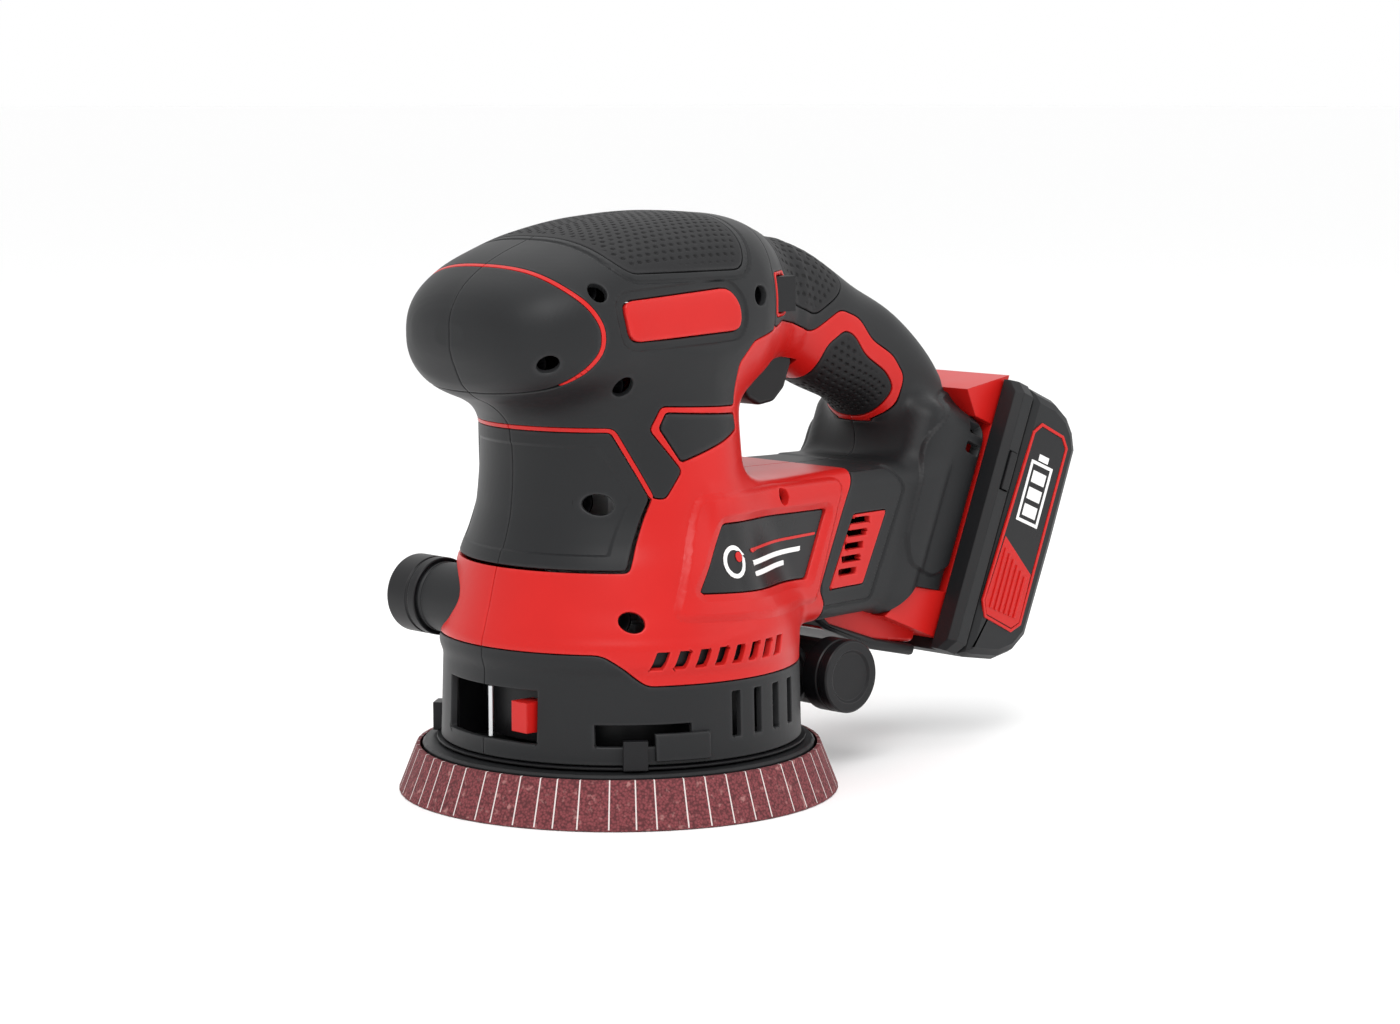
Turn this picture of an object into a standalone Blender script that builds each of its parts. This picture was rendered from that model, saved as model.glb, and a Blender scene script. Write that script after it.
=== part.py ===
"""Cordless random orbital sander, an assembly of separate named sub-parts.

Frame: the motor's axis is world Z, and the sanding face lies in the plane Z = 0.
+X runs towards the battery, -X towards the front knob, -Y is the tool's left side.
Shapes are worked out in millimetres, and to_metres() scales the finished pieces.
"""
import math

import bmesh
import bpy
from mathutils import Matrix, Vector

MM = 0.001

# ---- driving dimensions, millimetres -------------------------------------------------
PAD_R = 75.0            # 150 mm pad
PAD_TOP = 16.5
PAD_TOP_R = 68.5
ORBIT = 1.25            # offset of the pad's axis, a 2.5 mm orbit
WALL = 2.8              # moulded shell wall
GAP = 0.4               # parting gap between neighbouring mouldings
SEAM = 0.2              # half of the gap between the left and right shells
DRUM_R = 61.4
SHROUD_BOTTOM = 18.4
LEAN = math.radians(22)  # lean of the battery and its foot
CELL_R = 9.1            # 18650 cell with its sleeve
BATTERY_HALF_W = 39.5
DUST_R = 32.5           # circle of the eight dust holes
WELD = 0.002            # points closer than this are one point
RING = 20               # points round a moulded section

# ---- colours: base colour, roughness, metallic ---------------------------------------
FINISH = {
    "red": ((0.62, 0.022, 0.018), 0.38, 0.0),
    "charcoal": ((0.035, 0.036, 0.039), 0.55, 0.0),
    "grip": ((0.028, 0.028, 0.030), 0.72, 0.0),
    "black": ((0.010, 0.010, 0.011), 0.45, 0.0),
    "steel": ((0.56, 0.57, 0.58), 0.30, 1.0),
    "cast": ((0.45, 0.46, 0.47), 0.50, 1.0),
    "abrasive": ((0.20, 0.035, 0.040), 0.90, 0.0),
    "foam": ((0.050, 0.050, 0.052), 0.90, 0.0),
    "cell": ((0.05, 0.22, 0.30), 0.40, 0.0),
}


# ---- small tools ---------------------------------------------------------------------
def clear_scene():
    for obj in list(bpy.data.objects):
        bpy.data.objects.remove(obj, do_unlink=True)


def finish(name):
    mat = bpy.data.materials.get(name)
    if mat is None:
        mat = bpy.data.materials.new(name)
        mat.use_nodes = True
        shader = mat.node_tree.nodes["Principled BSDF"]
        color, rough, metal = FINISH[name]
        shader.inputs["Base Color"].default_value = (*color, 1)
        shader.inputs["Roughness"].default_value = rough
        shader.inputs["Metallic"].default_value = metal
    return mat


def profile(keys, t):
    """Value at t of the smooth curve through the (t, value) keys, without overshoot."""
    if t <= keys[0][0]:
        return keys[0][1]
    if t >= keys[-1][0]:
        return keys[-1][1]
    slopes = [(b[1] - a[1]) / (b[0] - a[0]) for a, b in zip(keys, keys[1:])]
    tangents = [slopes[0]]
    for left, right in zip(slopes, slopes[1:]):
        tangents.append(0.0 if left * right <= 0 else 2 * left * right / (left + right))
    tangents.append(slopes[-1])
    i = max(k for k in range(len(keys) - 1) if keys[k][0] <= t)
    width = keys[i + 1][0] - keys[i][0]
    s = (t - keys[i][0]) / width
    return ((1 + 2 * s) * (1 - s) ** 2 * keys[i][1] + s * (1 - s) ** 2 * width * tangents[i]
            + s * s * (3 - 2 * s) * keys[i + 1][1] + s * s * (s - 1) * width * tangents[i + 1])


def mesh_object(name, bm, mat):
    """Finish a bmesh as an object, still in millimetres."""
    bmesh.ops.remove_doubles(bm, verts=bm.verts, dist=1e-4)
    bmesh.ops.recalc_face_normals(bm, faces=bm.faces)
    mesh = bpy.data.meshes.new(name)
    bm.to_mesh(mesh)
    bm.free()
    mesh.shade_smooth()
    mesh.set_sharp_from_angle(angle=math.radians(32))
    mesh.materials.append(finish(mat))
    obj = bpy.data.objects.new(name, mesh)
    bpy.context.scene.collection.objects.link(obj)
    return obj


def loft(rings, name="solid", mat="red"):
    """Closed solid through rings of equally many points."""
    bm = bmesh.new()
    rows = [[bm.verts.new(p) for p in ring] for ring in rings]
    for a, b in zip(rows, rows[1:]):
        for i in range(len(a)):
            j = (i + 1) % len(a)
            bm.faces.new((a[i], a[j], b[j], b[i]))
    bm.faces.new(rows[0])
    bm.faces.new(rows[-1])
    return mesh_object(name, bm, mat)


def prism(outline, y0, y1, name="prism", mat="red"):
    """Solid over an (x, z) outline from y0 to y1."""
    return loft([[(x, y, z) for x, z in outline] for y in (y0, y1)], name, mat)


def column(outline, z0, z1, name="column", mat="red"):
    """Solid over an (x, y) outline from z0 to z1."""
    return loft([[(x, y, z) for x, y in outline] for z in (z0, z1)], name, mat)


def lathe(outline, name="turned", mat="steel", steps=28, axis="Z", at=(0, 0, 0)):
    """Turn a closed (radius, height) outline about an axis through a point."""
    bm = bmesh.new()
    rows = []
    for r, h in outline:
        if r < 1e-6:
            rows.append([bm.verts.new((0, 0, h))] * steps)
        else:
            angles = [2 * math.pi * k / steps for k in range(steps)]
            rows.append([bm.verts.new((r * math.cos(a), r * math.sin(a), h)) for a in angles])
    closed = outline[0][0] > 1e-6
    pairs = list(zip(rows, rows[1:])) + ([(rows[-1], rows[0])] if closed else [])
    for a, b in pairs:
        for i in range(steps):
            j = (i + 1) % steps
            corners = []
            for v in (a[i], a[j], b[j], b[i]):
                if v not in corners:
                    corners.append(v)
            if len(corners) > 2:
                bm.faces.new(corners)
    turn = {"Z": Matrix(), "Y": Matrix.Rotation(math.radians(-90), 4, "X"),
            "X": Matrix.Rotation(math.radians(90), 4, "Y")}[axis]
    bmesh.ops.transform(bm, matrix=Matrix.Translation(at) @ turn, verts=bm.verts)
    return mesh_object(name, bm, mat)


def rod(p0, p1, r, steps=20, name="rod", mat="steel"):
    """Round bar between two points."""
    start, end = Vector(p0), Vector(p1)
    along = (end - start).normalized()
    side = along.orthogonal().normalized()
    up = along.cross(side)
    angles = [2 * math.pi * k / steps for k in range(steps)]
    rings = [[p + side * (r * math.cos(a)) + up * (r * math.sin(a)) for a in angles]
             for p in (start, end)]
    return loft(rings, name, mat)


def block(lo, hi, name="block", mat="charcoal"):
    outline = [(lo[0], lo[1]), (hi[0], lo[1]), (hi[0], hi[1]), (lo[0], hi[1])]
    return column(outline, lo[2], hi[2], name, mat)


def weld(mesh):
    """Close the needle-thin slivers that a cut can leave."""
    bm = bmesh.new()
    bm.from_mesh(mesh)
    bmesh.ops.dissolve_degenerate(bm, dist=WELD, edges=bm.edges)
    bmesh.ops.remove_doubles(bm, verts=bm.verts, dist=WELD)
    bm.to_mesh(mesh)
    bm.free()


def carve(base, operation, *tools):
    """Apply Boolean steps to base and remove the tools."""
    for tool in tools:
        step = base.modifiers.new("cut", "BOOLEAN")
        step.solver = "EXACT"
        step.operation = operation
        step.object = tool
        graph = bpy.context.evaluated_depsgraph_get()
        mesh = bpy.data.meshes.new_from_object(base.evaluated_get(graph))
        base.modifiers.clear()
        base.data = mesh
        weld(mesh)
        bpy.data.objects.remove(tool)
    return base


def copy(obj, name="copy"):
    twin = obj.copy()
    twin.data = obj.data.copy()
    twin.name = name
    bpy.context.scene.collection.objects.link(twin)
    return twin


def linked(start):
    """All vertices that edges join to one vertex."""
    found, stack = {start}, [start]
    while stack:
        for edge in stack.pop().link_edges:
            for vert in edge.verts:
                if vert not in found:
                    found.add(vert)
                    stack.append(vert)
    return found


def keep_largest(bm):
    """Drop the slivers that a cut leaves beside the real piece."""
    groups, seen = [], set()
    for vert in bm.verts:
        if vert not in seen:
            group = linked(vert)
            seen |= group
            groups.append(group)
    groups.sort(key=len)
    spare = [vert for group in groups[:-1] for vert in group]
    bmesh.ops.delete(bm, geom=spare, context="VERTS")


def tidy(obj, name, mat):
    """Clean up what cutting leaves, and name the finished moulding."""
    bm = bmesh.new()
    bm.from_mesh(obj.data)
    keep_largest(bm)
    bmesh.ops.triangulate(bm, faces=bm.faces)
    bm.to_mesh(obj.data)
    bm.free()
    obj.name = name
    obj.data.name = name
    obj.data.shade_smooth()
    obj.data.set_sharp_from_angle(angle=math.radians(32))
    obj.data.materials.clear()
    obj.data.materials.append(finish(mat))
    return obj


def mirrored(obj, name):
    """The right-hand twin of a left-hand moulding."""
    twin = copy(obj, name)
    bm = bmesh.new()
    bm.from_mesh(twin.data)
    bmesh.ops.scale(bm, vec=(1, -1, 1), verts=bm.verts)
    bmesh.ops.reverse_faces(bm, faces=bm.faces)
    bm.to_mesh(twin.data)
    bm.free()
    twin.data.name = name
    return twin


def grown(outline, d):
    """The outline moved outward by d along its edges' normals."""
    area = sum(a[0] * b[1] - b[0] * a[1] for a, b in zip(outline, outline[1:] + outline[:1]))
    pts = outline if area > 0 else outline[::-1]
    out = []
    for i, (x, z) in enumerate(pts):
        before, after = Vector(pts[i - 1]), Vector(pts[(i + 1) % len(pts)])
        here = Vector((x, z))
        e0, e1 = (here - before).normalized(), (after - here).normalized()
        n0, n1 = Vector((e0.y, -e0.x)), Vector((e1.y, -e1.x))
        miter = (n0 + n1) / max(0.35, 1 + n0.dot(n1))
        out.append((x + d * miter.x, z + d * miter.y))
    return out


def leaned(outline):
    """(v, u) points of the leaning foot frame as (x, z): u runs up the battery, v rearward."""
    c, s = math.cos(LEAN), math.sin(LEAN)
    return [(u * s + v * c, u * c - v * s) for v, u in outline]


def superellipse(a, b, power, steps=RING):
    pts = []
    for k in range(steps):
        t = 2 * math.pi * (k + 0.5) / steps
        c, s = math.cos(t), math.sin(t)
        pts.append((math.copysign(abs(c) ** (2 / power), c) * a,
                    math.copysign(abs(s) ** (2 / power), s) * b))
    return pts


# ---- the moulded body's outer form, inset by d for the inside of the wall -------------
NECK_FRONT = [(44, 61.4), (56, 61.1), (69.5, 57.9), (82, 54.6), (98.5, 49.5), (111.7, 48.5),
              (134, 52), (150, 52)]
NECK_REAR = [(44, 60), (60, 56), (70, 52), (90, 42), (105, 37), (125, 36.5), (150, 44)]
NECK_SIDE = [(44, 61.4), (56, 61.1), (69.5, 57.9), (82, 54.6), (98.5, 49.5), (125, 46.5),
             (150, 45)]
HEAD_TOP = [(-74.3, 160), (-73.3, 165.5), (-70, 171), (-64.5, 176), (-45, 185.5),
            (-30, 190.3), (-9, 194), (12, 195.3), (32, 194.2), (48, 189), (62, 178)]
HEAD_BOTTOM = [(-74.3, 158), (-73, 149), (-68.6, 140.5), (-61.5, 135.5), (-50, 132.5),
               (-30, 131), (30, 131), (48, 138), (62, 148)]
HEAD_HALF_W = [(-74.3, 1), (-73.5, 15), (-72, 22), (-68, 30), (-60, 37.5), (-48, 43),
               (-30, 45.5), (10, 46), (25, 44), (38, 38), (50, 28), (62, 16)]
HANDLE_SPINE = [(40, 163), (68, 162.2), (95.9, 149.3), (113.9, 141.1), (127.6, 129.5),
                (136, 116)]
HANDLE_HALF_T = [(0, 23.5), (1, 21.5), (2, 20), (3, 19), (5, 20)]
HANDLE_HALF_W = [(0, 27), (1, 21), (2, 19), (3, 19), (4, 20), (5, 22)]
ARM_HALF_W = [(0, 47), (40, 40), (75, 34), (112, 31)]
ARM_Z = (52.5, 104.5)


def drum_form(d):
    top = 64.5 - d
    rings = []
    for z, r in ((SHROUD_BOTTOM - 2 * (d > 0), DRUM_R), (44, DRUM_R - 0.8),
                 (55, DRUM_R - 1.2), (60.5, DRUM_R - 4), (top, DRUM_R - 11)):
        rings.append([(x, y, z) for x, y in superellipse(r - d, r - d, 2, 2 * RING)])
    return loft(rings)


def neck_form(d):
    rings = []
    for z in (46, 56, 65, 75, 85, 96, 108, 122, 134, 150):
        front, rear = profile(NECK_FRONT, z) - d, profile(NECK_REAR, z) - d
        side = profile(NECK_SIDE, z) - d
        ring = []
        for k in range(RING + 8):
            t = 2 * math.pi * (k + 0.5) / (RING + 8)
            c, s = math.cos(t), math.sin(t)
            power = 2.0 if c < 0 else 1.8
            reach = front if c < 0 else rear
            ring.append((math.copysign(abs(c) ** (2 / power), c) * reach,
                         math.copysign(abs(s) ** (2 / power), s) * side, z))
        rings.append(ring)
    return loft(rings)


def head_form(d):
    rings = []
    for x in (-74.2, -73.3, -71, -66, -58, -46, -30, -10, 12, 28, 40, 51, 62):
        top, bottom = profile(HEAD_TOP, x) - d, profile(HEAD_BOTTOM, x) + d
        half_w = profile(HEAD_HALF_W, x) - d
        if half_w < 4 or top - bottom < 8:
            continue
        place = x + (d if x < -60 else 0)
        rings.append([(place, y, (top + bottom) / 2 + z)
                      for y, z in superellipse(half_w, (top - bottom) / 2, 2.5)])
    return loft(rings)


def spine_point(t):
    """Point and direction of the handle's centre line at t, in spans between its knots."""
    knots = HANDLE_SPINE
    i = min(int(t), len(knots) - 2)
    s = t - i
    p = [Vector(knots[max(0, min(len(knots) - 1, i + k))]) for k in (-1, 0, 1, 2)]
    a, b = p[2] - p[0], 2 * p[0] - 5 * p[1] + 4 * p[2] - p[3]
    c = 3 * p[1] - p[0] - 3 * p[2] + p[3]
    return (0.5 * (2 * p[1] + a * s + b * s * s + c * s ** 3),
            (0.5 * (a + 2 * b * s + 3 * c * s * s)).normalized())


def handle_form(d):
    rings = []
    for k in range(11):
        t = k / 2
        point, along = spine_point(t)
        out = Vector((-along.y, along.x))
        thick, wide = profile(HANDLE_HALF_T, t) - d, profile(HANDLE_HALF_W, t) - d
        ring = []
        for y, r in superellipse(wide, thick, 2.3):
            ring.append((point.x + out.x * r, y, point.y + out.y * r))
        rings.append(ring)
    return loft(rings)


def arm_form(d):
    low, high = ARM_Z[0] + d, ARM_Z[1] - d
    rings = []
    for x in (0, 25, 50, 75, 112):
        w = profile(ARM_HALF_W, x) - d
        c = 8
        ring = [(w, low + c), (w, high - c), (w - c, high), (c - w, high), (-w, high - c),
                (-w, low + c), (c - w, low), (w - c, low)]
        rings.append([(x, y, z) for y, z in ring])
    return loft(rings)


def foot_form(d):
    """The leaning block that carries the battery."""
    rings = []
    for u in (85 + d, 90 + d, 120, 156 - d, 164 - d):
        front = (69 if u < 86 + d else 66) + d
        front = 72 + d if u > 160 - d else front
        w = 29.5 - d
        v0, v1 = front, 102 + (4 if d else 0)
        corners = [(v0, 17), (v0 + 10, w), (v1, w - 1), (v1, 1 - w), (v0 + 10, -w), (v0, -17)]
        ring = []
        for v, y in corners:
            x, z = leaned([(v, u)])[0]
            ring.append((x, y, z))
        rings.append(ring)
    return loft(rings)


def form(d):
    """The whole outer body, or its cavity."""
    whole = neck_form(d)
    for part in (drum_form, head_form, handle_form, arm_form, foot_form):
        whole = carve(whole, "UNION", part(d))
    return whole


# ---- outlines of the mouldings, (x, z) seen from the left -----------------------------
SHROUD_LINE = [(-90, 0), (-90, 54.5), (-46, 54.5), (-34, 44), (90, 44), (90, 0)]
KNOB = [(-90, 190), (-60, 181), (-56, 174), (-50, 167), (-46, 160), (-46, 153), (-51, 146),
        (-58, 140.5), (-66, 138.5), (-90, 128)]
NECK_PANEL = [(-90, 126), (-34, 126), (-24.5, 104), (-35, 80.5), (-90, 80.5)]
HEAD = [(-90, 126.4), (-34, 126.4), (-24.5, 104.4), (-20.5, 103.5), (-14.5, 112.5),
        (-24, 126), (-20, 133.5), (13, 132), (13, 146), (20, 153), (33, 156), (33, 176),
        (37, 188), (46, 205), (-90, 205)]
REAR_HANDLE = [(46.4, 205), (37.4, 188), (33.4, 176), (33.4, 156.4), (42, 158.5), (60, 156),
               (72, 152), (87, 159.5), (97, 156), (103, 148), (114, 142), (120, 134),
               (117, 124), (112, 117), (122, 118), (160, 136), (160, 205)]
FOOT = [(112.2, 116.6), (122, 117.6), (160, 135.6), (200, 140), (200, 0), (62, 40), (62, 60),
        (59.5, 64.5), (76, 97), (82, 105), (82, 111)]
ACCENT = [(-39, 168.5), (7, 171.5), (12.5, 165), (12.5, 157), (-36, 155)]
CROWN = [(-38, 205), (-38, 187), (-36, 181), (-32, 177), (15, 177), (20, 184), (28, 205)]
HANDLE_PAD = [(50, 205), (47, 182), (48, 174), (56, 171), (58, 163), (73, 158), (86, 164),
              (100, 162), (108, 175), (84, 205)]
HANDLE_INSET = [(89, 152), (81, 147), (80, 139), (82, 120), (110, 110), (111, 118),
                (113, 124), (115.5, 130), (111, 136), (100, 142.5), (94, 150)]
PLATE = [(-1, 94.5), (63, 92.5), (51.5, 69.5), (-15, 73)]
SELECTOR_SLOT = [(36, 161.6), (45, 161.6), (45, 173.4), (36, 173.4)]

# Outlines in the leaning frame of the foot, (v, u): v rearward, u up along the battery.
RAIL_FRAME = [(84, 172.6), (103.8, 184.6), (103.8, 84), (74, 84), (84, 98), (101.4, 101),
              (101.4, 165), (92, 165)]
FRAME_ROOM = [(70, 172), (92, 164.6), (101, 164.6), (101, 101.4), (84, 98.5), (73, 83),
              (120, 70), (120, 200), (80, 200)]

# Screws from the left side: x, z, recess floor y, boss radius, recess radius, shank end y.
SCREWS = {"screw_base": (-37, 65, -34, 5.6, 4.0, -15),
          "screw_arm": (37, 99, -24, 4.6, 3.2, 10),
          "screw_head": (-34, 140.5, -26, 5.6, 4.0, 10),
          "screw_handle": (23, 168, -28, 5.6, 4.0, 10)}
POST_SIDE = 24                  # the base screw's boss stops at the bearing plate's post
SPIGOT_AXIS = (-41, 64)         # x, z of the front dust tube, which runs along +Y
ELBOW_AXIS = (73.4, 32.8)       # x, z of the rear dust tube, which runs along -Y
ELBOW_NECK_Y = -16
WINDOW = ((-75, -22, 24.3), (-45, 22, 41.8))
TRIGGER_X = (46, 71)
TRIGGER_HALF_W = 11.6


def tube(x, z, y0, y1, r, steps=24):
    return rod((x, y0, z), (x, y1, z), r, steps)


def moulding(base, outline, without=(), name="moulding", mat="charcoal"):
    """The part of a shell inside an outline and outside the grown neighbours."""
    piece = carve(copy(base), "INTERSECT", prism(outline, -100, 100))
    for other in without:
        piece = carve(piece, "DIFFERENCE", prism(grown(other, GAP), -100, 100))
    return tidy(piece, name, mat)


def add_boss(piece, core, key, side):
    """Screw boss from the seam to the wall, side -1 on the left and 1 on the right."""
    x, z, _, boss_r, _, _ = SCREWS[key]
    near = POST_SIDE if key == "screw_base" else SEAM
    boss = carve(tube(x, z, side * near, side * 60, boss_r, 16), "INTERSECT", copy(core))
    return carve(piece, "UNION", boss)


def drill(piece, key, side):
    x, z, floor, _, recess_r, end = SCREWS[key]
    if side < 0:
        return carve(piece, "DIFFERENCE", tube(x, z, -70, floor, recess_r, 16),
                     tube(x, z, floor - 1, 1, 2.0, 12))
    return carve(piece, "DIFFERENCE", tube(x, z, -1, end + 2, 2.0, 12))


def make_mouldings():
    shell = carve(form(0), "DIFFERENCE", form(WALL))
    core = form(0.8)
    left = carve(copy(shell), "INTERSECT", block((-95, -95, -5), (215, -SEAM, 215)))
    room = leaned(FRAME_ROOM)
    whole = [(-95, -10), (215, -10), (215, 215), (-95, 215)]

    halves = {
        "dust_shroud": moulding(left, SHROUD_LINE, (), "dust_shroud_left", "charcoal"),
        "front_knob": moulding(left, KNOB, (), "front_knob_left", "charcoal"),
        "neck_grip": moulding(left, NECK_PANEL, (), "neck_grip_left", "charcoal"),
        "head_shell": moulding(left, HEAD, (KNOB, ACCENT, CROWN),
                               "head_shell_left", "charcoal"),
        "accent_panel": moulding(left, ACCENT, (), "accent_panel_left", "red"),
        "handle_shell": moulding(left, REAR_HANDLE, (HANDLE_PAD, SELECTOR_SLOT, room),
                                 "handle_shell_left", "charcoal"),
        "foot": moulding(left, FOOT, (room,), "foot_left", "charcoal"),
        "name_plate": moulding(left, PLATE, (), "name_plate_left", "charcoal"),
        "housing": moulding(left, whole, (SHROUD_LINE, KNOB, NECK_PANEL, HEAD, REAR_HANDLE, FOOT,
                                          HANDLE_INSET, PLATE, room), "housing_left", "red"),
    }
    moulding(shell, CROWN, (), "crown_grip", "grip")
    moulding(shell, HANDLE_PAD, (), "handle_grip", "grip")
    moulding(shell, HANDLE_INSET, (), "handle_inset", "grip")

    trigger_slot = ((TRIGGER_X[0] - 0.6, -TRIGGER_HALF_W - 0.6, 120),
                    (TRIGGER_X[1] + 0.6, TRIGGER_HALF_W + 0.6, 152))
    halves["housing"] = carve(halves["housing"], "DIFFERENCE", block(*trigger_slot))
    cut_shroud(halves["dust_shroud"])
    cut_foot(halves["foot"])
    right = {key: mirrored(piece, key + "_right") for key, piece in halves.items()}

    bosses = {"housing": ("screw_base", "screw_arm"), "head_shell": ("screw_head", "screw_handle")}
    for key, names in bosses.items():
        for name in names:
            halves[key] = drill(add_boss(halves[key], core, name, -1), name, -1)
            if name != "screw_base":
                right[key] = drill(add_boss(right[key], core, name, 1), name, 1)
    x, z = SPIGOT_AXIS
    for key in ("housing", "dust_shroud"):
        right[key] = carve(right[key], "DIFFERENCE", tube(x, z, 18, 80, 12.5),
                           tube(x, z, 44.4, 80, 14.2))
    x, z = ELBOW_AXIS
    neck_room = rod((45, ELBOW_NECK_Y, z), (66, ELBOW_NECK_Y, z), 9.5, 24)
    halves["dust_shroud"] = carve(halves["dust_shroud"], "DIFFERENCE", neck_room)
    for pieces, side in ((halves, "left"), (right, "right")):
        for key, piece in pieces.items():
            tidy(piece, f"{key}_{side}", piece.data.materials[0].name)
    for obj in (left, shell, core):
        bpy.data.objects.remove(obj)


def cut_shroud(piece):
    """Front window, side slot and four upright air slots."""
    carve(piece, "DIFFERENCE", block(*WINDOW), block((-47, -70, 25.5), (-21, -30, 32)))
    for x in (-4, 6, 16, 26):
        carve(piece, "DIFFERENCE", block((x - 1.6, -70, 25), (x + 1.6, -45, 40)))


def cut_foot(piece):
    """Five louvre slots in the collar, and two small windows in the foot."""
    for k in range(5):
        z = 66.5 + 4.8 * k
        shift = (z - 64.5) * 0.53
        slot = [(68.5 + shift, z), (81.5 + shift, z), (83 + shift, z + 2.6), (70 + shift, z + 2.6)]
        carve(piece, "DIFFERENCE", prism(slot, -60, -20))
    for u in (151, 158):
        hole = leaned([(89, u), (97, u), (97, u + 4), (89, u + 4)])
        carve(piece, "DIFFERENCE", prism(hole, -60, -24))


# ---- dust ports ----------------------------------------------------------------------
def make_dust_ports():
    x, z = SPIGOT_AXIS
    lathe([(9.8, 20), (12, 20), (12, 58.5), (9.8, 58.5)], "dust_spigot", "charcoal", 24,
          "Y", (x, 0, z))
    lathe([(12.3, 45), (13.4, 45), (13.4, 60), (10.4, 60), (10.4, 58.9), (12.3, 58.9)],
          "hose_collar", "black", 24, "Y", (x, 0, z))
    x, z = ELBOW_AXIS
    y = ELBOW_NECK_Y
    elbow = tube(x, z, -36, -2, 11.6)
    carve(elbow, "UNION", rod((56.5, y, z), (66, y, z), 9, 24),
          rod((62.6, y, z), (65, y, z), 11, 24))
    carve(elbow, "DIFFERENCE", tube(x, z, -37, -4.4, 9.4), rod((55, y, z), (70, y, z), 7, 24))
    tidy(elbow, "dust_elbow", "charcoal")
    plug = [(0, -36.4), (7, -36.6), (9.6, -38.2), (12.9, -38.2), (12.9, -26), (12, -26),
            (12, -36), (9.0, -36.2), (9.0, -32), (7.6, -32), (7.6, -34.6), (0, -34.6)]
    lathe(plug, "dust_plug", "black", 24, "Y", (x, 0, z))


# ---- motor and drive -----------------------------------------------------------------
def make_drive():
    lathe([(25, 74), (26, 74), (26, 126), (11.1, 126), (11.1, 123.8), (24, 123.8), (24, 116),
           (18.4, 116), (18.4, 78), (25, 78)], "motor_can", "cast")
    lathe([(9.5, 117), (23.4, 117), (23.4, 120), (9.5, 120)], "brush_ring", "black")
    lathe([(0, 33.6), (6, 33.6), (6, 62), (5, 62), (5, 79), (17, 79), (17, 112), (9, 112),
           (9, 121), (4, 121), (4, 133), (0, 133)], "rotor", "steel")
    lathe([(4.05, 124), (11, 124), (11, 130.5), (4.05, 130.5)], "upper_bearing", "steel", 24)
    lathe([(6.05, 49), (14.1, 49), (14.1, 57), (6.05, 57)], "lower_bearing", "steel")
    plate = lathe([(14.2, 47.6), (17, 47.6), (17, 48.6), (56.6, 48.6), (56.6, 51.5), (17, 51.5),
                   (17, 57.5), (14.2, 57.5)], "bearing_plate", "cast")
    carve(plate, "UNION", block((-42, -23.4, 50), (-32, -13, 71)))
    carve(plate, "DIFFERENCE", tube(-37, 65, -25, -14, 2.0, 12))
    for k in (0, 1, 2, 4, 5):
        a = math.radians(60 * k + 10)
        cx, cy = 36 * math.cos(a), 36 * math.sin(a)
        carve(plate, "DIFFERENCE", rod((cx, cy, 45), (cx, cy, 60), 8, 12))
    tidy(plate, "bearing_plate", "cast")
    make_fan()
    make_eccentric()


def make_fan():
    fan = lathe([(6.05, 36), (45, 36), (45, 38), (12, 38), (12, 46), (6.05, 46)], "dust_fan",
                "cast")
    for k in range(8):
        a = 2 * math.pi * k / 8
        b = a + 0.5
        inner = Vector((10.5 * math.cos(a), 10.5 * math.sin(a)))
        outer = Vector((44 * math.cos(b), 44 * math.sin(b)))
        side = (outer - inner).orthogonal().normalized() * 0.8
        corners = [inner + side, inner - side, outer - side, outer + side]
        carve(fan, "UNION", column([tuple(p) for p in corners], 37.4, 46 - 0.01 * k))
    tidy(fan, "dust_fan", "cast")


def make_eccentric():
    hub = rod((0, 0, 23.8), (0, 0, 35.6), 21, 32)
    lobe = [(0, -37.5)] + [(37.5 * math.sin(math.pi * k / 14), -37.5 * math.cos(math.pi * k / 14))
                           for k in range(1, 14)] + [(0, 37.5)]
    carve(hub, "UNION", column(lobe, 25, 33))
    carve(hub, "DIFFERENCE", rod((-ORBIT, 0, 22), (-ORBIT, 0, 33.1), 16.1, 28),
          rod((0, 0, 32), (0, 0, 37), 6.1, 28))
    tidy(hub, "eccentric", "cast")


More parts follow.
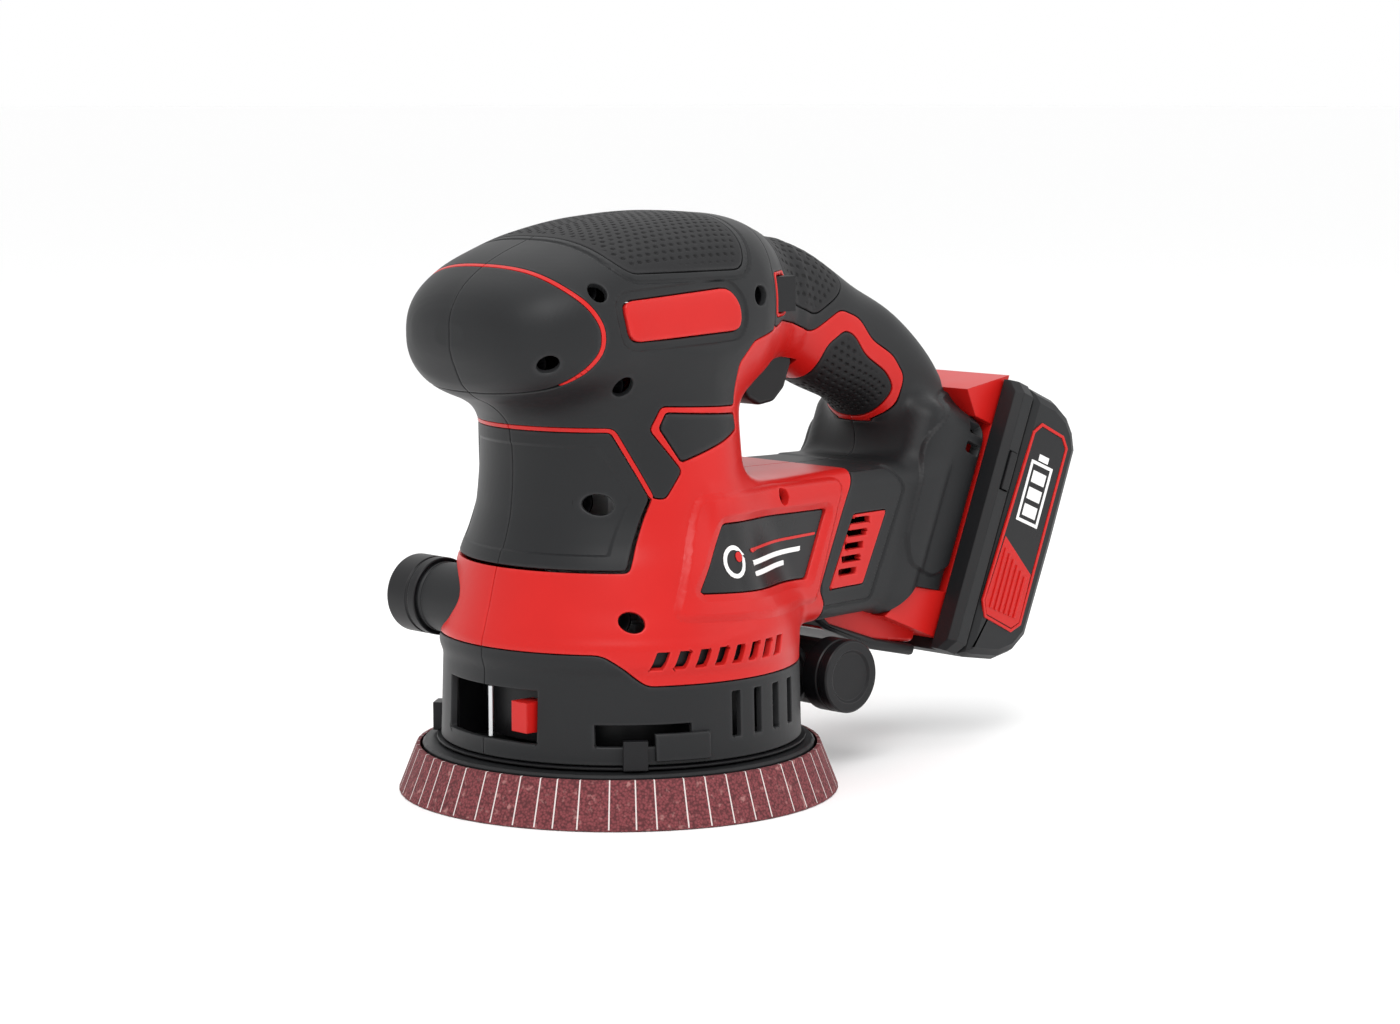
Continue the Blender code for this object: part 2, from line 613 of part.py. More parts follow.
def make_pad():
    at = (-ORBIT, 0, 0)
    lathe([(6.05, 24.2), (16, 24.2), (16, 32.8), (6.05, 32.8)], "pad_bearing", "steel", 28,
          "Z", at)
    lathe([(3, 16.9), (14, 16.9), (14, 19), (7.5, 21), (7.5, 24), (6, 24), (6, 32.4), (0, 32.4),
           (0, 30), (3, 30)], "pad_spindle", "steel", 20, "Z", at)
    lathe([(0, 7), (6, 7), (6, 9.7), (2.9, 9.7), (2.9, 29.6), (0, 29.6)], "pad_screw", "steel",
          12, "Z", at)
    plate = lathe([(3.1, 10), (66, 10), (PAD_TOP_R - 1.6, PAD_TOP - 0.8), (PAD_TOP_R - 2.4, PAD_TOP),
                   (3.1, PAD_TOP)], "backing_plate", "black", 48, "Z", at)
    foam = lathe([(8, 1.8), (72.8, 1.8), (69.8, 9.6), (8, 9.6)], "foam_pad", "foam", 48, "Z", at)
    slope = (PAD_R - PAD_TOP_R) / PAD_TOP
    top_z = PAD_TOP - 1.2
    disc = lathe([(0, 0), (PAD_R, 0), (PAD_R - slope * top_z, top_z),
                  (PAD_R - slope * top_z - 1.1, top_z), (PAD_R - 1.5, 1.4), (0, 1.4)],
                 "sanding_disc", "abrasive", 60, "Z", at)
    for k in range(8):
        a = math.radians(45 * k + 20.5)
        x, y = DUST_R * math.cos(a) - ORBIT, DUST_R * math.sin(a)
        for piece in (plate, foam, disc):
            carve(piece, "DIFFERENCE", rod((x, y, -5), (x, y, 25), 5, 10))
    tidy(plate, "backing_plate", "black")
    tidy(foam, "foam_pad", "foam")
    tidy(disc, "sanding_disc", "abrasive")


def make_skirt():
    """Rubber skirt ring under the shroud, with two retaining clips."""
    ring = lathe([(50, 17.3), (63, 17.3), (63, 18), (58, 18), (58, 22.8), (56.2, 22.8), (56.2, 19.4),
                  (50, 19.4)], "skirt_ring", "black", 48)
    for side in (-1, 1):
        a = math.radians(128) * side
        out, across = Vector((math.cos(a), math.sin(a))), Vector((-math.sin(a), math.cos(a)))
        corners = [out * r + across * w for r, w in ((61.9, -4), (65, -4), (65, 4), (61.9, 4))]
        carve(ring, "UNION", column([tuple(p) for p in corners], 17.4, 27))
    tidy(ring, "skirt_ring", "black")
    rod((-59.2, -1.7, 24.7), (-59.2, -1.7, 41.4), 0.9, 12, "window_pin", "steel")
    block((-60, -20.6, 28), (-51, -13, 38), "pad_lock_button", "red")


# ---- battery and its foot ------------------------------------------------------------
def lean_block(v, y, u, name="lean_block", mat="charcoal"):
    corners = leaned([(v[0], u[0]), (v[1], u[0]), (v[1], u[1]), (v[0], u[1])])
    return prism(corners, y[0], y[1], name, mat)


def lean_rings(rows, name, mat):
    """Loft of (v, y) rings stacked along the battery, each with its own height u."""
    rings = []
    for u, ring in rows:
        points = []
        for v, y in ring:
            x, z = leaned([(v, u)])[0]
            points.append((x, y, z))
        rings.append(points)
    return loft(rings, name, mat)


def make_battery():
    w = BATTERY_HALF_W
    frame = prism(leaned(RAIL_FRAME), -28.8, 28.8, "battery_frame", "red")
    carve(frame, "DIFFERENCE", lean_block((100, 105), (-14.4, 14.4), (121.6, 148.4)))
    tidy(frame, "battery_frame", "red")
    lean_block((92, 104), (-14, 14), (122, 148), "terminal_block", "black")

    base_rows = []
    for u, cut in ((80, 4), (84, 0), (178, 0), (182, 4)):
        half = w - cut
        base_rows.append((u, [(107.6, -half), (107.6, half), (102.4, half), (100.6, half - 3),
                              (100.6, 29.8), (104.4, 29.4), (104.4, -29.4), (100.6, -29.8),
                              (100.6, 3 - half), (102.4, -half)]))
    base = lean_rings(base_rows, "battery_base", "charcoal")

    case_rows = []
    for u, cut in ((80, 5), (86, 0), (176, 0), (182, 5)):
        half, rear = w - cut, 140.5 - cut
        case_rows.append((u, [(108, -half), (108, half), (rear - 5, half), (rear, half - 5),
                              (rear, 5 - half), (rear - 5, -half)]))
    case = lean_rings(case_rows, "battery_case", "charcoal")
    carve(case, "DIFFERENCE", lean_block((107, 134), (-w + 3, w - 3), (84, 178)))
    for side in (-1, 1):
        pocket = sorted((side * (w - 1.6), side * (w + 3)))
        carve(case, "DIFFERENCE", prism(leaned(grown(LABEL, 0.3)), *pocket))
        inlay = sorted((side * (w - 1.3), side * (w + 0.1)))
        prism(leaned(LABEL), *inlay, side_name("battery_label", side), "red")
        slot = sorted((side * (w - 4), side * (w + 3)))
        carve(base, "DIFFERENCE", lean_block((102.8, 107.2), slot, (141.6, 156.4)))
        push = sorted((side * (w - 2.4), side * (w + 0.8)))
        lean_block((103.2, 106.8), push, (142, 156), side_name("release_button", side), "black")
    tidy(base, "battery_base", "charcoal")
    tidy(case, "battery_case", "charcoal")
    make_cells()


LABEL = [(110.6, 101), (113.5, 96), (129, 95), (133.5, 99), (133.5, 166), (129.5, 170.5),
         (116, 171), (112.5, 166.5)]


def side_name(name, side):
    return f"{name}_left" if side < 0 else f"{name}_right"


def make_cells():
    pack = None
    for k in range(5):
        x, z = leaned([(118 + 5.6 * (k % 2), 96.4 + 17.6 * k - 0.6)])[0]
        cell = tube(x, z, -32.5, 32.5, CELL_R, 20)
        pack = cell if pack is None else carve(pack, "UNION", cell)
    carve(pack, "UNION", lean_block((117, 124.6), (32.2, 33.2), (92, 170)))
    tidy(pack, "cell_pack", "cell")


# ---- handle controls -----------------------------------------------------------------
def make_controls():
    x0, x1 = TRIGGER_X
    outline = [(x0, 149), (x0, 139), (x0 + 2.5, 134), (x0 + 2, 129.5), (x0 + 5, 126.5),
               (x1 - 4, 127.5), (x1, 132), (x1, 149)]
    prism(outline, -TRIGGER_HALF_W, TRIGGER_HALF_W, "trigger", "black")
    block((48, -9, 157), (72, 9, 171), "switch_module", "black")
    block((36, -38.5, 161.6), (45, 38.5, 173.4), "lock_button", "black")
    make_spring()


def make_spring():
    """Compression spring between the trigger and the switch."""
    turns, low, high, coil_r, wire_r = 2.5, 150.1, 155.9, 3.4, 0.5
    steps = 8
    rings = []
    count = int(turns * steps)
    for k in range(count + 1):
        a = 2 * math.pi * k / steps
        z = low + (high - low) * k / count
        out = Vector((math.cos(a), math.sin(a), 0))
        centre = Vector((64, 0, z)) + out * coil_r
        rings.append([centre + out * (wire_r * math.cos(t)) + Vector((0, 0, wire_r * math.sin(t)))
                      for t in (2 * math.pi * j / 5 for j in range(5))])
    loft(rings, "trigger_spring", "steel")


def make_screws():
    for name, (x, z, floor, _, recess_r, end) in SCREWS.items():
        head = recess_r - 0.5
        lathe([(0, floor - 2.4), (head, floor - 2.0), (head, floor - 0.3), (1.6, floor - 0.3),
               (1.6, end), (0, end)], name, "steel", 16, "Y", (x, 0, z))


# Joint axes: an empty stands on each one, with the pieces that move about it.
MOVING = {
    "drive_axis": ((0, 0, 0), ("rotor", "dust_fan", "eccentric")),
    "pad_axis": ((-ORBIT, 0, 0), ("pad_bearing", "pad_spindle", "pad_screw", "backing_plate",
                                  "foam_pad", "sanding_disc")),
    "trigger_axis": ((58, 0, 140), ("trigger",)),
    "lock_axis": ((40.5, 0, 167.5), ("lock_button",)),
    "pad_lock_axis": ((-55, -17, 33), ("pad_lock_button",)),
    "collar_axis": ((SPIGOT_AXIS[0], 52, SPIGOT_AXIS[1]), ("hose_collar",)),
    "plug_axis": ((ELBOW_AXIS[0], -38, ELBOW_AXIS[1]), ("dust_plug",)),
    "battery_axis": ((160, 0, 80), ("battery_base", "battery_case", "battery_label_left",
                                    "battery_label_right", "cell_pack", "release_button_left",
                                    "release_button_right")),
}


def to_metres():
    """Scale the finished pieces, and stand the moving ones on their joint axes."""
    for obj in bpy.data.objects:
        obj.data.transform(Matrix.Scale(MM, 4))
    for name, (place, pieces) in MOVING.items():
        axis = bpy.data.objects.new(name, None)
        bpy.context.scene.collection.objects.link(axis)
        axis.location = Vector(place) * MM
        for piece in pieces:
            obj = bpy.data.objects[piece]
            obj.parent = axis
            obj.matrix_parent_inverse = Matrix.Translation(-axis.location)


def main():
    clear_scene()
    make_mouldings()
    make_dust_ports()
    make_drive()
    make_pad()
    make_skirt()
    make_battery()
    make_controls()
    make_screws()
    to_metres()


main()
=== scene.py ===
"""Looks for the cordless orbital sander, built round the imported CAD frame.

Shapes are worked out in millimetres in the frame's axes: +X towards the battery,
-Y the tool's left side, Z up from the sanding face. Meshes are scaled to metres last.
"""
import math

import bmesh
import bpy
import numpy as np
from mathutils import Matrix, Vector


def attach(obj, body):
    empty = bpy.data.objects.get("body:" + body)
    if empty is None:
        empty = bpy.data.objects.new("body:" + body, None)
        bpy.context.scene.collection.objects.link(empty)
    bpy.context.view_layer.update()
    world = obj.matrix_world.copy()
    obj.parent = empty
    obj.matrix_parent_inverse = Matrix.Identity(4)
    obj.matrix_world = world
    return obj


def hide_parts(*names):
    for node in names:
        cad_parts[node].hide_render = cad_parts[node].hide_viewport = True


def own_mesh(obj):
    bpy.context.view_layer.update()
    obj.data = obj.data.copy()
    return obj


MM = 0.001
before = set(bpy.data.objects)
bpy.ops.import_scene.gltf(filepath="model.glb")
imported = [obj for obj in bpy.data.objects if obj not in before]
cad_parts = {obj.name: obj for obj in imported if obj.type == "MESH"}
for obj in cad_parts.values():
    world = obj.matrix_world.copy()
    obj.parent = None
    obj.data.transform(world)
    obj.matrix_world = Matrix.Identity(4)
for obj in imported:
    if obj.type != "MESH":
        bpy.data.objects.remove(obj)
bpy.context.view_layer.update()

# ---- design values shared with the CAD, millimetres --------------------------------------
LEAN = math.radians(22)
SHROUD_BOTTOM = 18.4
BATTERY_HALF_W = 39.5
SPIGOT = (-41, 64)
ELBOW = (73.4, 32.8)
SEAM = 0.12
GAP = 0.16
EDGE = 0.4
SKIN_STEP = 1.25
BLOCK = 4               # grid points are tried in blocks of this many a side
FIELD_STEP, FIELD_BLOCK, FIELD_BAND = 0.4, 8, 8.0
FIELD_LOW, FIELD_HIGH = (-96, 8), (204, 208)
WALL = 2.2
LINER_R = 46.0
SPECULAR = 0.24
TRIM_HALF = 0.8          # half width of the band kept for a red line
PORT_CLEAR = 14.2        # radius kept free round the front dust tube
MARK_LIFT = -0.75        # printed marks, measured from the body's surface
DIMPLE, DIMPLE_DEPTH = (0.30, 0.27), 0.38     # dimple half-axes in pitches, depth


# ---- smooth numeric forms ----------------------------------------------------------------
def curve(keys):
    """Monotone smooth curve through (t, value) keys, on arrays."""
    t, v = (np.array(c, float) for c in zip(*keys))
    d = np.diff(v) / np.diff(t)
    m = np.empty_like(v)
    m[0], m[-1] = d[0], d[-1]
    prod = d[:-1] * d[1:]
    m[1:-1] = np.where(prod > 0, 2 * prod / np.where(d[:-1] + d[1:] == 0, 1, d[:-1] + d[1:]), 0)

    def at(x):
        x = np.clip(x, t[0], t[-1])
        i = np.clip(np.searchsorted(t, x) - 1, 0, len(t) - 2)
        h = t[i + 1] - t[i]
        s = (x - t[i]) / h
        return ((1 + 2 * s) * (1 - s) ** 2 * v[i] + s * (1 - s) ** 2 * h * m[i]
                + s * s * (3 - 2 * s) * v[i + 1] + s * s * (s - 1) * h * m[i + 1])
    return at


def smin(a, b, k):
    h = np.clip(0.5 + 0.5 * (b - a) / k, 0, 1)
    return b * (1 - h) + a * h - k * h * (1 - h)


def smax(a, b, k):
    return -smin(-a, -b, k)


def oval(x, y, a, b, power):
    return ((np.abs(x / a) ** power + np.abs(y / b) ** power) ** (1 / power) - 1) * np.minimum(a, b)


def lean(x, z):
    """(u up along the battery, v rearward) of a point."""
    s, c = math.sin(LEAN), math.cos(LEAN)
    return x * s + z * c, x * c - z * s


def upright(v, u):
    s, c = math.sin(LEAN), math.cos(LEAN)
    return u * s + v * c, u * c - v * s


FRONT = curve([(50, 61.2), (56, 61.1), (69.5, 57.9), (82, 54.6), (90, 51.6), (98.5, 49.5),
               (111.7, 48.5), (125, 49.3), (134, 52), (150, 52)])
REAR = curve([(50, 60), (70, 52), (90, 42), (105, 37), (125, 36.5), (140, 40), (150, 44)])
SIDE = curve([(50, 61.2), (56, 61.1), (69.5, 57.9), (82, 54.6), (90, 51.6), (98.5, 49.5),
              (111.7, 48.2), (125, 46.5), (140, 45), (150, 45)])
HEAD_TOP = curve([(-74.3, 162.5), (-73.3, 165.5), (-70, 171), (-64.5, 176), (-55, 181.5),
                  (-45, 185.5), (-30, 190.3), (-9, 194), (12, 195.3), (32, 194.2), (48, 189),
                  (62, 178)])
HEAD_BOTTOM = curve([(-74.3, 152.5), (-73, 149), (-68.6, 140.5), (-61.5, 135.5), (-50, 132.5),
                     (-30, 131), (30, 131), (48, 138), (62, 148)])
HEAD_HALF_W = curve([(-74.3, 9), (-73.5, 15), (-72, 22), (-68, 30), (-60, 37.5), (-48, 43),
                     (-30, 45.5), (10, 46), (25, 44), (38, 38), (50, 28), (62, 16)])
SPINE = np.array([(40, 163), (68, 162.2), (95.9, 149.3), (113.9, 141.1), (127.6, 129.5),
                  (136, 116)], float)
HANDLE_T = curve([(0, 24), (30, 21.5), (60, 20), (90, 19), (125, 20)])
HANDLE_W = curve([(0, 27), (25, 22), (45, 19.5), (80, 19), (100, 19.5), (125, 22)])
FOOT_W = curve([(55, 22), (65, 28), (78, 31), (90, 30), (102, 28.5)])
ARM_W = curve([(0, 47), (40, 40), (75, 34), (110, 31)])


def spine_line(points, steps=8):
    """Catmull-Rom line through the knots."""
    out = []
    for i in range(len(points) - 1):
        p = [points[max(0, min(len(points) - 1, i + k))] for k in (-1, 0, 1, 2)]
        for s in np.linspace(0, 1, steps, endpoint=False):
            out.append(0.5 * (2 * p[1] + (p[2] - p[0]) * s
                              + (2 * p[0] - 5 * p[1] + 4 * p[2] - p[3]) * s ** 2
                              + (3 * p[1] - p[0] - 3 * p[2] + p[3]) * s ** 3))
    return np.array(out + [points[-1]])


SPINE_LINE = spine_line(SPINE)
SPINE_AT = np.concatenate([[0], np.cumsum(np.linalg.norm(np.diff(SPINE_LINE, axis=0), axis=1))])


def along_spine(x, z):
    """(distance along the handle's centre line, signed distance from it, upward positive)."""
    best = np.full(np.shape(x), 1e9)
    at, side = np.zeros(np.shape(x)), np.ones(np.shape(x))
    for a, b, s0 in zip(SPINE_LINE, SPINE_LINE[1:], SPINE_AT):
        e = b - a
        length = math.hypot(*e)
        t = np.clip(((x - a[0]) * e[0] + (z - a[1]) * e[1]) / length ** 2, 0, 1)
        dx, dz = x - a[0] - t * e[0], z - a[1] - t * e[1]
        d = np.hypot(dx, dz)
        near = d < best
        best = np.where(near, d, best)
        at = np.where(near, s0 + t * length, at)
        side = np.where(near, np.sign(e[0] * dz - e[1] * dx), side)
    return at, best * side


def tower(x, y, z):
    reach = np.where(x < 0, FRONT(z), REAR(z))
    d = np.where(x < 0, oval(x, y, reach, SIDE(z), 2.0), oval(x, y, reach, SIDE(z), 1.8))
    return smax(d, np.maximum(z - 150, 50 - z), 3)


def drum(x, y, z):
    d = np.hypot(x, y) - 61.4 + (z - SHROUD_BOTTOM) * 0.03
    top = 56 + 9 * np.clip((x + 12) / 30, 0, 1)
    return smax(smax(d, (z - top) * 0.9, np.clip((x + 12) / 4, 1.6, 8)), 10 - z, 0.6)


def head(x, y, z):
    top, low = HEAD_TOP(x), HEAD_BOTTOM(x)
    d = oval(y, z - (top + low) / 2, HEAD_HALF_W(x), (top - low) / 2, 2.5)
    return smax(d, np.maximum(x - 62, -74.3 - x), 1.5)


def handle(x, y, z):
    d = np.full(np.shape(x), 60.0)
    near = (x > 5) & (z > 85)
    at, off = along_spine(x[near], z[near])
    d[near] = oval(off, y[near], HANDLE_T(at), HANDLE_W(at), 2.3)
    return d


def rounded_box(dx, dy, dz, r):
    q = [d + r for d in (dx, dy, dz)]
    out = np.sqrt(sum(np.maximum(c, 0) ** 2 for c in q))
    return out + np.minimum(np.maximum(np.maximum(q[0], q[1]), q[2]), 0) - r


def foot(x, y, z):
    u, v = lean(x, z)
    return rounded_box(np.maximum(v - 102, 66 - v), np.abs(y) - FOOT_W(v),
                       np.maximum(u - 164, 85 - u), 7)


def arm(x, y, z):
    _, v = lean(x, z)
    qy, qz = np.abs(y) - ARM_W(x) + 8, np.abs(z - 78.5) - 26 + 8
    d = (np.hypot(np.maximum(qy, 0), np.maximum(qz, 0)) + np.minimum(np.maximum(qy, qz), 0) - 8)
    return smax(d, np.maximum(-x, v - 80), 2)


def body(p):
    """Distance to the moulded body's outer surface, for an (n, 3) array."""
    x, y, z = p.T
    d = smin(tower(x, y, z), head(x, y, z), 8)
    d = smin(d, handle(x, y, z), 10)
    d = smin(d, smin(foot(x, y, z), arm(x, y, z), 5), 9)
    return smin(d, drum(x, y, z), 4)


# ---- skin meshes -------------------------------------------------------------------------
def gradient(dist, p, h=0.02):
    d = dist(p)
    return d, np.stack([(dist(p + step) - d) / h for step in np.eye(3) * h], 1)


def unit(v):
    return v / np.maximum(np.linalg.norm(v, axis=1), 1e-9)[:, None]


def onto(dist, points, most):
    """The points moved towards dist = 0, each by at most most."""
    d, g = gradient(dist, points)
    move = d[:, None] * g / np.maximum((g ** 2).sum(1), 0.2)[:, None]
    size = np.linalg.norm(move, axis=1)[:, None]
    return points - move * np.minimum(1, most / np.maximum(size, 1e-9))


def skin(dist, low, high, step):
    """Surface net of dist = 0 with its points moved onto the surface."""
    shape = tuple(BLOCK * math.ceil((b - a) / step / BLOCK) for a, b in zip(low, high))
    block = np.stack(np.meshgrid(*[np.arange(0, s, BLOCK) for s in shape], indexing="ij"), -1)
    block = block.reshape(-1, 3)
    far = dist(np.array(low) + step * (block + BLOCK / 2))
    inner = np.stack(np.meshgrid(*[np.arange(BLOCK)] * 3, indexing="ij"), -1).reshape(-1, 3)
    index = (block[:, None] + inner[None]).reshape(-1, 3)
    near = np.repeat(np.abs(far) < 1.6 * BLOCK * step, len(inner))
    flat = np.repeat(far, len(inner))
    flat[near] = dist(np.array(low) + step * index[near])
    values = np.empty(shape)
    values[tuple(index.T)] = flat
    solid = values < 0
    cells = tuple(s - 1 for s in shape)
    total, count = np.zeros((math.prod(cells), 3)), np.zeros(math.prod(cells))
    quads = []
    for axis in range(3):
        first, second = [slice(None)] * 3, [slice(None)] * 3
        first[axis], second[axis] = slice(0, -1), slice(1, None)
        a, b = values[tuple(first)], values[tuple(second)]
        crossing = solid[tuple(first)] != solid[tuple(second)]
        at = np.argwhere(crossing)
        point = np.array(low) + step * at
        point[:, axis] += step * (a / np.where(a == b, 1, a - b))[crossing]
        u, w = (axis + 1) % 3, (axis + 2) % 3
        ok = (at[:, u] > 0) & (at[:, w] > 0) & (at[:, u] < cells[u]) & (at[:, w] < cells[w])
        at, point, out = at[ok], point[ok], solid[tuple(first)][crossing][ok]
        ring = []
        for du, dw in ((-1, -1), (0, -1), (0, 0), (-1, 0)):
            cell = at.copy()
            cell[:, u] += du
            cell[:, w] += dw
            key = np.ravel_multi_index(cell.T, cells)
            np.add.at(total, key, point)
            np.add.at(count, key, 1)
            ring.append(key)
        ring = np.stack(ring, 1)
        ring[~out] = ring[~out][:, ::-1]
        quads.append(ring)
    quads = np.concatenate(quads)
    used, quads = np.unique(quads, return_inverse=True)
    quads = quads.reshape(-1, 4)
    points = total[used] / count[used][:, None]
    for _ in range(4):
        points = onto(dist, points, 0.5 * step)
    return points, np.concatenate([quads[:, [0, 1, 2]], quads[:, [0, 2, 3]]])


def compact(points, faces):
    used, faces = np.unique(faces, return_inverse=True)
    return points[used], faces.reshape(-1, 3)


def split(points, faces, field, level=0.0):
    """Cut the triangles along field = level, keeping both sides."""
    s = field(points) - level
    s[np.abs(s) < 1e-3] = 0
    edges = np.sort(np.concatenate([faces[:, [0, 1]], faces[:, [1, 2]], faces[:, [2, 0]]]), 1)
    edges, back = np.unique(edges, axis=0, return_inverse=True)
    back = back.reshape(3, -1).T
    crossed = s[edges[:, 0]] * s[edges[:, 1]] < 0
    if not crossed.any():
        return points, faces
    a, b = points[edges[crossed, 0]], points[edges[crossed, 1]]
    fa = s[edges[crossed, 0]]
    low, high = np.zeros(len(a)), np.ones(len(a))
    for _ in range(14):
        mid = (low + high) / 2
        same = (field(a + (b - a) * mid[:, None]) - level) * fa > 0
        low, high = np.where(same, mid, low), np.where(same, high, mid)
    index = np.full(len(edges), -1)
    index[crossed] = len(points) + np.arange(crossed.sum())
    points = np.concatenate([points, a + (b - a) * ((low + high) / 2)[:, None]])
    cut = index[back]
    number = (cut >= 0).sum(1)
    out = [faces[number == 0]]
    for k in range(3):
        i, j = (k + 1) % 3, (k + 2) % 3
        one = (number == 1) & (cut[:, k] >= 0)
        f, c = faces[one], cut[one, k]
        out += [np.stack([f[:, k], c, f[:, j]], 1), np.stack([c, f[:, i], f[:, j]], 1)]
        two = (number == 2) & (cut[:, i] < 0)       # corner k stands alone
        f, c, d = faces[two], cut[two, k], cut[two, j]
        out += [np.stack([f[:, k], c, d], 1), np.stack([c, f[:, i], f[:, j]], 1),
                np.stack([c, f[:, j], d], 1)]
    return points, np.concatenate(out)


def keep(points, faces, field, level=0.0):
    points, faces = split(points, faces, field, level)
    middle = points[faces].mean(1)
    return compact(points, faces[field(middle) > level])


def refine(points, faces, dist, rounds=1):
    """Quarter every triangle and move the new points onto the surface."""
    for _ in range(rounds):
        edges = np.sort(np.concatenate([faces[:, [0, 1]], faces[:, [1, 2]], faces[:, [2, 0]]]), 1)
        edges, back = np.unique(edges, axis=0, return_inverse=True)
        mid = points[edges].mean(1)
        on_seam = np.abs(mid[:, 1]) < 1e-6
        mid = onto(dist, mid, 0.3)
        mid[on_seam, 1] = 0
        m = back.reshape(3, -1).T + len(points)
        points = np.concatenate([points, mid])
        faces = np.concatenate([np.stack([faces[:, 0], m[:, 0], m[:, 2]], 1),
                                np.stack([m[:, 0], faces[:, 1], m[:, 1]], 1),
                                np.stack([m[:, 2], m[:, 1], faces[:, 2]], 1), m])
    return points, faces


# ---- flat outlines and fields ------------------------------------------------------------
def rounded(outline, r, steps=4):
    """The outline with its corners turned into short arcs."""
    pts = np.array(outline, float)
    out = []
    for a, p, b in zip(np.roll(pts, 1, 0), pts, np.roll(pts, -1, 0)):
        u, w = a - p, b - p
        lu, lw = np.linalg.norm(u), np.linalg.norm(w)
        k = min(r, 0.45 * lu, 0.45 * lw)
        p0, p1 = p + u / lu * k, p + w / lw * k
        out += [(1 - t) ** 2 * p0 + 2 * t * (1 - t) * p + t * t * p1
                for t in np.linspace(0, 1, steps)]
    return np.array(out)


def outline_distance(pts, x, z):
    """Signed distance to a closed outline, negative inside."""
    best = np.full(np.shape(x), 1e9)
    inside = np.zeros(np.shape(x), bool)
    for a, b in zip(pts, np.roll(pts, -1, 0)):
        e = b - a
        t = np.clip(((x - a[0]) * e[0] + (z - a[1]) * e[1]) / max(e @ e, 1e-12), 0, 1)
        best = np.minimum(best, np.hypot(x - a[0] - t * e[0], z - a[1] - t * e[1]))
        if e[1]:
            over = (a[1] <= z) != (b[1] <= z)
            inside ^= over & (x < a[0] + (z - a[1]) * e[0] / e[1])
    return np.where(inside, -best, best)


def zone(outline, r=1.5):
    """Field of a zone seen from the side, positive inside, looked up on a fine grid."""
    pts = rounded(outline, r)
    (x0, z0), (x1, z1) = FIELD_LOW, FIELD_HIGH
    nx, nz = (FIELD_BLOCK * math.ceil((b - a) / FIELD_STEP / FIELD_BLOCK) + 1
              for a, b in ((x0, x1), (z0, z1)))
    gx, gz = x0 + FIELD_STEP * np.arange(nx), z0 + FIELD_STEP * np.arange(nz)
    coarse = outline_distance(pts, *np.meshgrid(gx[::FIELD_BLOCK], gz[::FIELD_BLOCK],
                                                indexing="ij"))
    for axis, n in ((0, nx), (1, nz)):
        i = np.minimum(np.arange(n) // FIELD_BLOCK, coarse.shape[axis] - 2)
        t = np.arange(n) / FIELD_BLOCK - i
        t = t[:, None] if axis == 0 else t[None]
        coarse = np.take(coarse, i, axis) * (1 - t) + np.take(coarse, i + 1, axis) * t
    i, j = np.nonzero(np.abs(coarse) < FIELD_BAND)
    coarse[i, j] = outline_distance(pts, gx[i], gz[j])
    table = -coarse.ravel()

    def at(p):
        fx = np.clip((p[:, 0] - x0) / FIELD_STEP, 0, nx - 1.001)
        fz = np.clip((p[:, 2] - z0) / FIELD_STEP, 0, nz - 1.001)
        i, j = fx.astype(int), fz.astype(int)
        tx, tz = fx - i, fz - j
        k = i * nz + j
        return ((table[k] * (1 - tz) + table[k + 1] * tz) * (1 - tx)
                + (table[k + nz] * (1 - tz) + table[k + nz + 1] * tz) * tx)
    return at


def leaned(outline):
    return [upright(v, u) for v, u in outline]


def both(*fields):
    return lambda p: np.minimum.reduce([f(p) for f in fields])


def hole(x, z, r):
    """Field of a round hole in the side wall, positive outside it."""
    return lambda p: np.where(p[:, 1] < 0, np.hypot(p[:, 0] - x, p[:, 2] - z) - r, 50.0)


def seam(p):
    return -p[:, 1] - SEAM


def flip(points):
    return points * np.array([1, -1, 1])


# ---- finished meshes ---------------------------------------------------------------------
def set_normals(mesh):
    """Area-weighted smooth normals, so that flat faces stay flat beside rounded edges."""
    count = len(mesh.vertices)
    normals = np.zeros((count, 3))
    mesh.calc_loop_triangles()
    tris = np.zeros(len(mesh.loop_triangles) * 3, np.int32)
    mesh.loop_triangles.foreach_get("vertices", tris)
    tris = tris.reshape(-1, 3)
    co = np.zeros(count * 3)
    mesh.vertices.foreach_get("co", co)
    co = co.reshape(-1, 3)
    area = np.cross(co[tris[:, 1]] - co[tris[:, 0]], co[tris[:, 2]] - co[tris[:, 0]])
    for k in range(3):
        for c in range(3):
            normals[:, c] += np.bincount(tris[:, k], area[:, c], count)
    mesh.normals_split_custom_set_from_vertices(unit(normals).astype(np.float32))


def add_piece(name, mesh, mat, body_name, replaces=()):
    mesh.materials.clear()
    mesh.materials.append(MATERIALS[mat])
    obj = bpy.data.objects.new(name, mesh)
    bpy.context.scene.collection.objects.link(obj)
    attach(obj, body_name)
    if replaces:
        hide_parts(*replaces)
    return obj


def mesh_from(name, points, faces, marks=None):
    mesh = bpy.data.meshes.new(name)
    mesh.from_pydata((points * MM).tolist(), [], faces.tolist())
    for key, value in (marks or {}).items():
        kind, socket = ("FLOAT", "value") if value.ndim == 1 else ("FLOAT_VECTOR", "vector")
        mesh.attributes.new(key, kind, "POINT").data.foreach_set(
            socket, value.astype(np.float32).ravel())
    mesh.shade_smooth()
    set_normals(mesh)
    return mesh


